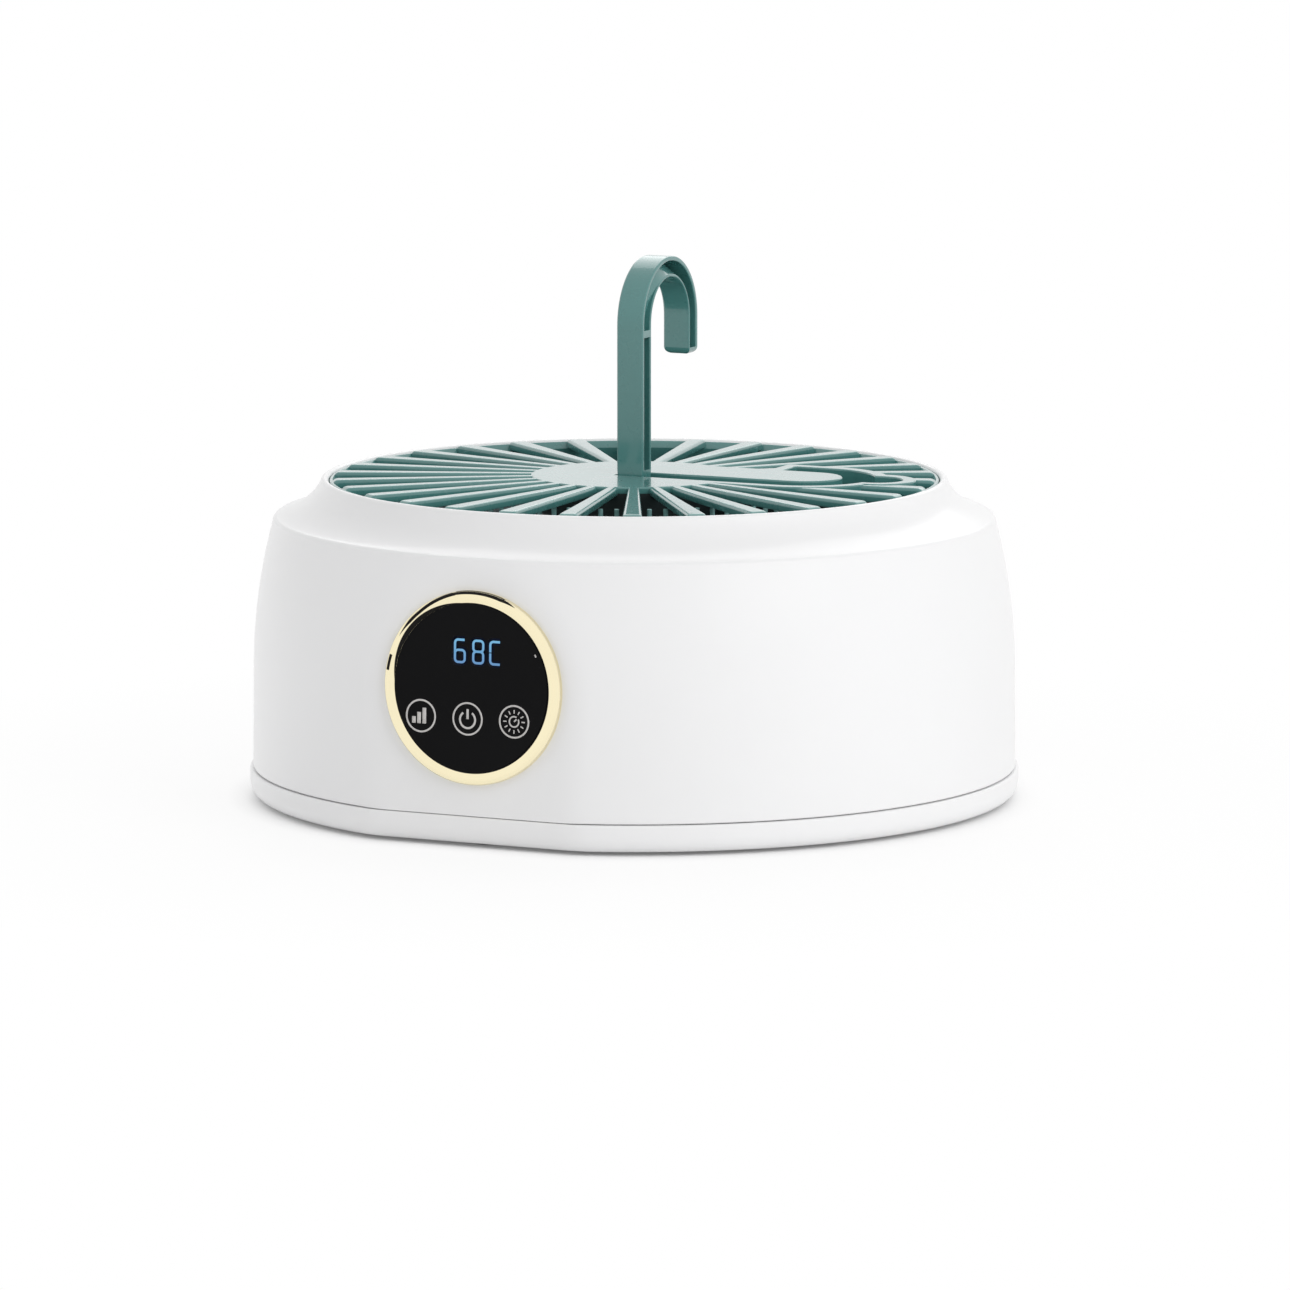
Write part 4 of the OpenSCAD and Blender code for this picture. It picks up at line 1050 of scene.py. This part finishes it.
# Section of the display's ring as (radius, height above the flat), in millimetres
RING_SECTION = [
    (31.9, -0.3), (31.9, 1.3), (31.8, 1.75), (31.4, 2.25), (30.9, 2.55), (30.2, 2.7), (29.4, 2.65),
    (28.8, 2.4), (28.3, 2.15), (28.05, 2.05), (28.05, 1.95), (28.95, 1.95), (28.95, -6), (30, -6), (30, -0.3),
]
RING_FACE = RING_SECTION[1:10]
LENS_BORDER = [(27.6, 1.8), (27.6, 1.905), (28.95, 1.905), (28.95, 1.8)]


def bulge(share):
    """Zero at both ends of a line and one at its middle."""
    return math.sin(math.pi * share)


# Painted shadow and painted dark reflection on the ring's upper left: start and end in degrees, middle radius
# and width along it
PAINTED_RING_ARCS = [
    (60, 101, lambda share: 31.45, lambda share: 1.1 * min(1, 4 * share)),
    (101, 149, lambda share: 31.35 - 0.85 * min(1, 1.8 * share), lambda share: 1.1 * min(1, 4 * (1 - share))),
    (98, 178, lambda share: 28.05 + 0.75 * bulge(share), lambda share: 1.5 * bulge(share)),
    (162, 172, lambda share: 30.6, lambda share: 1.1),
]


def turned(name, section, spot):
    """Ring turned round the display's centre from a section of (radius, height) in millimetres."""
    steps, rows = 192, []
    for i in range(steps):
        turn = 2 * math.pi * i / steps
        along, up = math.cos(turn), math.sin(turn)
        rows.append([spot(RING_SHIFT + r * MM * along, r * MM * up, w * MM) for r, w in section])
    return skinned(name, rows, wrap=True)


def ring_height(radius):
    """Height of the ring's face at a radius, both in millimetres."""
    for (outer, low), (inner, high) in zip(RING_FACE, RING_FACE[1:]):
        if inner <= radius <= outer and outer > inner:
            return low + (high - low) * (outer - radius) / (outer - inner)
    return RING_FACE[0][1] if radius > RING_FACE[0][0] else RING_FACE[-1][1]


def ring_painted_shade(spot):
    """Dark lines laid on the display's ring: painted shadow of the gap at its outer edge and painted dark
    reflection nearer its inner edge.
    """
    lift, steps, strips = 0.03, 48, 6
    bm = bmesh.new()
    for start, end, middle, width in PAINTED_RING_ARCS:
        rows = []
        for i in range(steps + 1):
            share = i / steps
            turn = math.radians(start + (end - start) * share)
            row = []
            for j in range(strips + 1):
                r = middle(share) + width(share) * (j / strips - 0.5)
                along, up = r * MM * math.cos(turn), r * MM * math.sin(turn)
                row.append(bm.verts.new(spot(RING_SHIFT + along, up, (ring_height(r) + lift) * MM)))
            rows.append(row)
        for one, two in zip(rows, rows[1:]):
            for j in range(strips):
                bm.faces.new((one[j], two[j], two[j + 1], one[j + 1]))
    return thicken(link_mesh("ring_painted_shade", bm), 0.1 * MM)


class DRYER_OT_display(bpy.types.Operator):
    """Finish the metallic ring and the black lens, and add the lit digits and key marks"""

    bl_idname = "dryer.display"
    bl_label = "Round display"

    def execute(self, context):
        sizes = context.scene.dryer_sizes
        colours = context.scene.dryer_colours
        gold = finish("gold_plate", colours.gold, 0.1, tint=0.03, blotch=20, grain=3000, bump=0.01,
                      rough_spread=0.03, Metallic=1.0)
        black = finish("lens_gloss", colours.lens, 0.08, tint=0.15, blotch=15, grain=2500, bump=0.003,
                       rough_spread=0.02, Specular_IOR_Level=0.06)
        paint({"display_lens": black})
        centre, out, up = display_axes(sizes)

        def spot(u, v, w=0.0):
            """Point to the right, up and out from the display's centre."""
            return centre + Vector((u, 0, 0)) + up * v + out * w

        def above_lens(lift):
            """Gives points just above the lens."""
            return lambda u, v: spot(u, v, LENS_FACE + lift)

        place(turned("display_ring", RING_SECTION, spot), DRYER, "gold_ring", gold, "display_bezel")
        place(turned("lens_border", LENS_BORDER, spot), DRYER, "lens_black", black)
        # Near-black of the painted shadow and reflection on the ring
        shade = finish("ring_shadow_and_reflection", (0.008, 0.007, 0.006), 0.2, tint=0.2, blotch=40, Specular_IOR_Level=0.1)
        place(ring_painted_shade(spot), DRYER, "lens_black", shade)

        # Dark blue halo round the digits, three strokes wide: painted glow of their light on the lens
        halo = finish("digit_halo", (0.001, 0.004, 0.016), 0.12, tint=0.3, blotch=60, Specular_IOR_Level=0.06)
        self.digits("display_halo", halo, sizes.digit_stroke * HALO_SPREAD, above_lens(HALO_LIFT))
        printed = above_lens(PRINT_LIFT)
        foot, head = (printed(0, v).z for v in (DIGITS_LOW - 0.4 * MM, DIGITS_HIGH + 0.45 * MM))
        light = glow("digit_light", colours.digits, foot, head)
        self.digits("display_digits", light, sizes.digit_stroke, above_lens(LIT_LIFT))
        self.keys(sizes.mark_stroke, colours.marks, printed)
        return {"FINISHED"}

    def digits(self, name, material, stroke, on_lens):
        """Seven-segment figures 6 and 8 and the letter C, along the middle lines of their segments."""
        corner, low, high = 1.1 * MM, DIGITS_LOW, DIGITS_HIGH
        middle = (high + low) / 2
        waist, belly, gap = middle + 0.1 * MM, middle + 0.3 * MM, 0.15 * MM
        bm = bmesh.new()

        def upper_left(left):
            """Rounded corner at a figure's top left."""
            return arc((left + corner, high - corner), corner, 90, 180, 4)

        # Six: a closed lower half and an open upper half
        left, right = -5.6 * MM, -2.05 * MM
        ribbon(bm, rounded_box(left, low, right, belly, corner), stroke, True, on_lens)
        six = [(right - 0.1 * MM, high)] + upper_left(left) + [(left, middle - 1 * MM)]
        ribbon(bm, six, stroke, False, on_lens)
        # Eight: two closed halves
        left, right = 1.05 * MM, 4.65 * MM
        ribbon(bm, rounded_box(left, low, right, waist, corner), stroke, True, on_lens)
        ribbon(bm, rounded_box(left, waist, right, high, corner), stroke, True, on_lens)
        # Letter C for degrees Celsius, in an upper and a lower half
        left, right = 7.2 * MM, 10.7 * MM
        upper = [(right, high)] + upper_left(left) + [(left, middle + gap)]
        lower = [(left, middle - gap)] + arc((left + corner, low + corner), corner, 180, 270, 4)
        lower += [(right, low)]
        ribbon(bm, upper, stroke, False, on_lens)
        ribbon(bm, lower, stroke, False, on_lens)
        place(thicken(link_mesh(name, bm), 0.03 * MM), DRYER, "lens_black", material)

    def keys(self, stroke, colour_of_marks, on_lens):
        """Rings of the three keys with the level, power and timer marks in them, and a dash at the right."""
        ring = 5.5 * MM
        level, power, timer = (-17.85 * MM, -10.15 * MM), (-0.85 * MM, -10.1 * MM), (16.03 * MM, -9.95 * MM)
        bm = bmesh.new()
        for middle in (level, power, timer):
            ribbon(bm, arc(middle, ring - stroke / 2, 0, 352.5, 47), stroke, True, on_lens)
        self.level_mark(bm, *level, on_lens)
        self.power_mark(bm, *power, on_lens)
        self.timer_mark(bm, *timer, on_lens)
        dash, line = [(23.3 * MM, 12.5 * MM), (23.75 * MM, 11.6 * MM)], 0.5 * MM
        ribbon(bm, dash, line, False, on_lens)
        marks = thicken(link_mesh("key_marks", bm), 0.04 * MM)
        ink = finish("mark_ink", colour_of_marks, 0.5, tint=0.05, blotch=80, grain=2500, bump=0.05)
        place(marks, DRYER, "lens_black", ink)

    def level_mark(self, bm, u, v, on_lens):
        """Three rising bars."""
        first, pitch, bar, foot = -2.55 * MM, 1.9 * MM, 1.35 * MM, v - 2.5 * MM
        for i, height in enumerate((2.2 * MM, 3.7 * MM, 5.2 * MM)):
            left = u + first + pitch * i
            ribbon(bm, [(left, foot), (left, foot + height)], bar, False, on_lens)

    def power_mark(self, bm, u, v, on_lens):
        """Open ring and a bar."""
        ring, line, bar = 2.75 * MM, 0.7 * MM, 0.85 * MM
        middle, top, foot = (u, v - 0.3 * MM), (u, v + 3.2 * MM), (u, v - 0.1 * MM)
        ribbon(bm, arc(middle, ring, 125, 415, 30), line, False, on_lens)
        ribbon(bm, [top, foot], bar, False, on_lens)

    def timer_mark(self, bm, u, v, on_lens):
        """Dial of short rays round a small ring with a hand."""
        inner, outer, ray = 2.7 * MM, 3.9 * MM, 0.42 * MM
        ring, line, hand = 1.7 * MM, 0.5 * MM, 0.9 * MM
        for i in range(12):
            turn = math.radians(30 * i)
            ends = [(u + r * math.cos(turn), v + r * math.sin(turn)) for r in (inner, outer)]
            ribbon(bm, ends, ray, False, on_lens)
        ribbon(bm, arc((u, v), ring, 60, 390, 24), line, False, on_lens)
        ribbon(bm, [(u, v), (u + hand, v + hand)], line, False, on_lens)


# ---------------------------------------------------------------- inside


class DRYER_OT_inside(bpy.types.Operator):
    """Finish the fan, the heater, the boards, the mains inlet, the outlet grille and all screws"""

    bl_idname = "dryer.inside"
    bl_label = "Fan, heater and boards"

    def execute(self, context):
        heat_plastic = finish("heat_plastic", (0.2, 0.21, 0.215), 0.45, tint=0.06, blotch=40)
        black = finish("black_plastic", (0.018, 0.018, 0.02), 0.4, tint=0.1, blotch=50, bump=0.06)
        board = finish("solder_mask", (0.012, 0.07, 0.03), 0.3, tint=0.12, blotch=90, Coat_Weight=0.4)
        parts = finish("component_bodies", (0.03, 0.03, 0.034), 0.4, tint=0.2, blotch=120)
        steel = finish("zinc_steel", (0.5, 0.51, 0.53), 0.32, tint=0.06, blotch=60, grain=2200, bump=0.06,
                       Metallic=1.0)
        brass = finish("turned_brass", (0.62, 0.43, 0.15), 0.25, tint=0.06, blotch=60, Metallic=1.0)
        fins = finish("pressed_aluminium", (0.6, 0.61, 0.63), 0.36, tint=0.08, blotch=50, grain=1200,
                      stretch=(1, 1, 8), bump=0.08, Metallic=1.0)
        pads = finish("pad_rubber", (0.02, 0.02, 0.022), 0.7, tint=0.1, blotch=100)
        paint(dict.fromkeys(("fan_duct", "motor_mount", "heater_frame", "outlet_grille"), heat_plastic))
        paint(dict.fromkeys(("impeller", "mains_inlet", "led_module"), black))
        paint(dict.fromkeys(("display_board", "power_board"), board))
        paint(dict.fromkeys(("fan_motor", "motor_shaft", "thermal_cutout", "temperature_probe"), steel))
        for held in ("base", "duct", "grille", "motor", "display", "board"):
            paint({f"{held}_screws": steel})
        paint(dict.fromkeys(("impeller_nut", "inlet_pins"), brass))
        paint({"power_components": parts, "heater_elements": fins, "touch_pads": pads})
        return {"FINISHED"}


# ---------------------------------------------------------------- stage


def floor_material():
    """White floor that keeps a soft shadow and turns into the pale background away from the part.

    The camera and reflections see it turn white away from the axis, and a little sooner in front.
    """
    pale_from, pale_to, front_lead = 0.12, 0.32, 5 * MM
    material, nodes, links = new_material("pale_floor")
    shader = nodes["Principled BSDF"]
    shader.inputs["Base Color"].default_value = (0.96, 0.96, 0.96, 1)
    shader.inputs["Roughness"].default_value = 0.6
    white = nodes.new("ShaderNodeEmission")
    white.inputs["Strength"].default_value = 1.0
    coordinates = nodes.new("ShaderNodeTexCoord").outputs["Object"]
    reach = nodes.new("ShaderNodeVectorMath")
    reach.operation = "LENGTH"
    links.new(coordinates, reach.inputs[0])
    parts = nodes.new("ShaderNodeSeparateXYZ")
    links.new(coordinates, parts.inputs["Vector"])
    front = nodes.new("ShaderNodeMath")
    front.operation = "SUBTRACT"
    front.inputs[0].default_value = front_lead
    links.new(parts.outputs["Y"], front.inputs[1])
    span = nodes.new("ShaderNodeMapRange")
    span.inputs["From Min"].default_value = pale_from
    span.inputs["From Max"].default_value = pale_to
    edge = combined(nodes, links, "MAXIMUM", reach.outputs["Value"], front.outputs["Value"])
    links.new(edge, span.inputs["Value"])
    only = nodes.new("ShaderNodeMath")
    only.operation = "MULTIPLY"
    links.new(seen_directly(nodes, links), only.inputs[0])
    shades = fade(nodes, links, span.outputs["Result"], (0.1, 0.1, 0.1), (1, 1, 1), only.inputs[1])
    shades.color_ramp.elements[0].position = 0.035
    # Share of the way to the pale background, and how pale the floor is there
    for position, shade in ((0.06, 0.6), (0.09, 0.84), (0.35, 0.915)):
        shades.color_ramp.elements.new(position).color = (shade, shade, shade, 1)
    surfaces = shader.outputs["BSDF"], white.outputs["Emission"]
    mix_shaders(nodes, links, only.outputs["Value"], *surfaces, "Material Output")
    return material


def seen_directly(nodes, links, *more_rays):
    """One where the camera or a reflection looks, and zero for the light that falls on the part."""
    path = nodes.new("ShaderNodeLightPath")
    seen = path.outputs["Is Camera Ray"]
    for ray in ("Is Glossy Ray", *more_rays):
        seen = combined(nodes, links, "MAXIMUM", seen, path.outputs[ray])
    return seen


def sky_nodes(world, strength):
    """Even light from all round, seen as plain white by the camera and in reflections."""
    world.use_nodes = True
    nodes, links = world.node_tree.nodes, world.node_tree.links
    light, white = nodes["Background"], nodes.new("ShaderNodeBackground")
    for background, brightness in ((light, strength), (white, 1.0)):
        background.inputs["Color"].default_value = (1, 1, 1, 1)
        background.inputs["Strength"].default_value = brightness
    surfaces = light.outputs["Background"], white.outputs["Background"]
    mix_shaders(nodes, links, seen_directly(nodes, links, "Is Transmission Ray"), *surfaces, "World Output")


def direction(azimuth, elevation):
    """Direction from the part at a turn from the display towards +X and a height above the horizon."""
    level = math.cos(elevation)
    return Vector((math.sin(azimuth) * level, -math.cos(azimuth) * level, math.sin(elevation)))


def look_at(name, data, target, way, distance):
    """Lamp or camera that faces the target from a direction."""
    obj = bpy.data.objects.new(name, data)
    obj.location = target + way * distance
    obj.rotation_euler = way.to_track_quat("Z", "Y").to_euler()
    bpy.context.scene.collection.objects.link(obj)
    return obj


def add_lamp(name, azimuth, elevation, size, power):
    """Soft square lamp that faces the drum from a direction given in degrees."""
    distance, target = 1.3, Vector((0, 0, 0.06))
    lamp = bpy.data.lights.new(name, "AREA")
    lamp.size = size
    lamp.energy = power
    way = direction(math.radians(azimuth), math.radians(elevation))
    obj = look_at(name, lamp, target, way, distance)
    obj.visible_glossy = False
    return obj


class DRYER_OT_stage(bpy.types.Operator):
    """Add the floor, the soft lamps, the pale surroundings and the camera"""

    bl_idname = "dryer.stage"
    bl_label = "Stage"

    def execute(self, context):
        scene = context.scene
        light = scene.dryer_light
        bm = bmesh.new()
        bmesh.ops.create_grid(bm, x_segments=1, y_segments=1, size=4)
        ground = link_mesh("floor", bm)
        ground.data.materials.append(floor_material())
        scene.world = bpy.data.worlds.new("surroundings")
        sky_nodes(scene.world, light.sky)
        add_lamp("key_lamp", 68, 27, 0.9, light.key_power)
        add_lamp("fill_lamp", -56, 22, 0.9, light.fill_power)
        add_lamp("back_lamp", 195, 42, 1.1, light.back_power).visible_glossy = True

        focus = Vector((3.26, 1.54, 50.65)) * MM
        camera = bpy.data.cameras.new("camera")
        camera.lens = light.focal
        camera.sensor_width = 36
        camera.clip_start = 0.05
        camera.clip_end = 20
        way = direction(light.azimuth, light.elevation)
        scene.camera = look_at("camera", camera, focus, way, light.distance)
        scene.view_settings.view_transform = "Standard"
        return {"FINISHED"}


# ---------------------------------------------------------------- add-on


class DRYER_PT_pieces(bpy.types.Panel):
    """Lists the pieces of the dryer head"""

    bl_idname = "DRYER_PT_pieces"
    bl_label = "Dryer head"
    bl_space_type = "VIEW_3D"
    bl_region_type = "UI"
    bl_category = "Dryer"

    def draw(self, context):
        """One button for each piece, then the settings."""
        layout = self.layout
        for step in STEPS:
            layout.operator(step.bl_idname)
        for group in (context.scene.dryer_sizes, context.scene.dryer_colours, context.scene.dryer_light):
            box = layout.box()
            for name in group.__annotations__:
                box.prop(group, name)


GROUPS = {"dryer_sizes": DryerSizes, "dryer_colours": DryerColours, "dryer_light": DryerLight}
STEPS = (
    DRYER_OT_housing, DRYER_OT_base, DRYER_OT_grille, DRYER_OT_filter, DRYER_OT_hook, DRYER_OT_display,
    DRYER_OT_inside, DRYER_OT_stage,
)


def register():
    """Makes the settings, the operators and the panel known."""
    for item in (*GROUPS.values(), *STEPS, DRYER_PT_pieces):
        bpy.utils.register_class(item)
    for name, group in GROUPS.items():
        setattr(bpy.types.Scene, name, PointerProperty(type=group))


def unregister():
    """Takes the settings, the operators and the panel away."""
    for name in GROUPS:
        delattr(bpy.types.Scene, name)
    for item in reversed((*GROUPS.values(), *STEPS, DRYER_PT_pieces)):
        bpy.utils.unregister_class(item)


def main():
    """Builds every piece."""
    register()
    bpy.ops.dryer.housing()
    bpy.ops.dryer.base()
    bpy.ops.dryer.grille()
    bpy.ops.dryer.filter()
    bpy.ops.dryer.hook()
    bpy.ops.dryer.display()
    bpy.ops.dryer.inside()
    bpy.ops.dryer.stage()


if __name__ == "__main__":
    main()
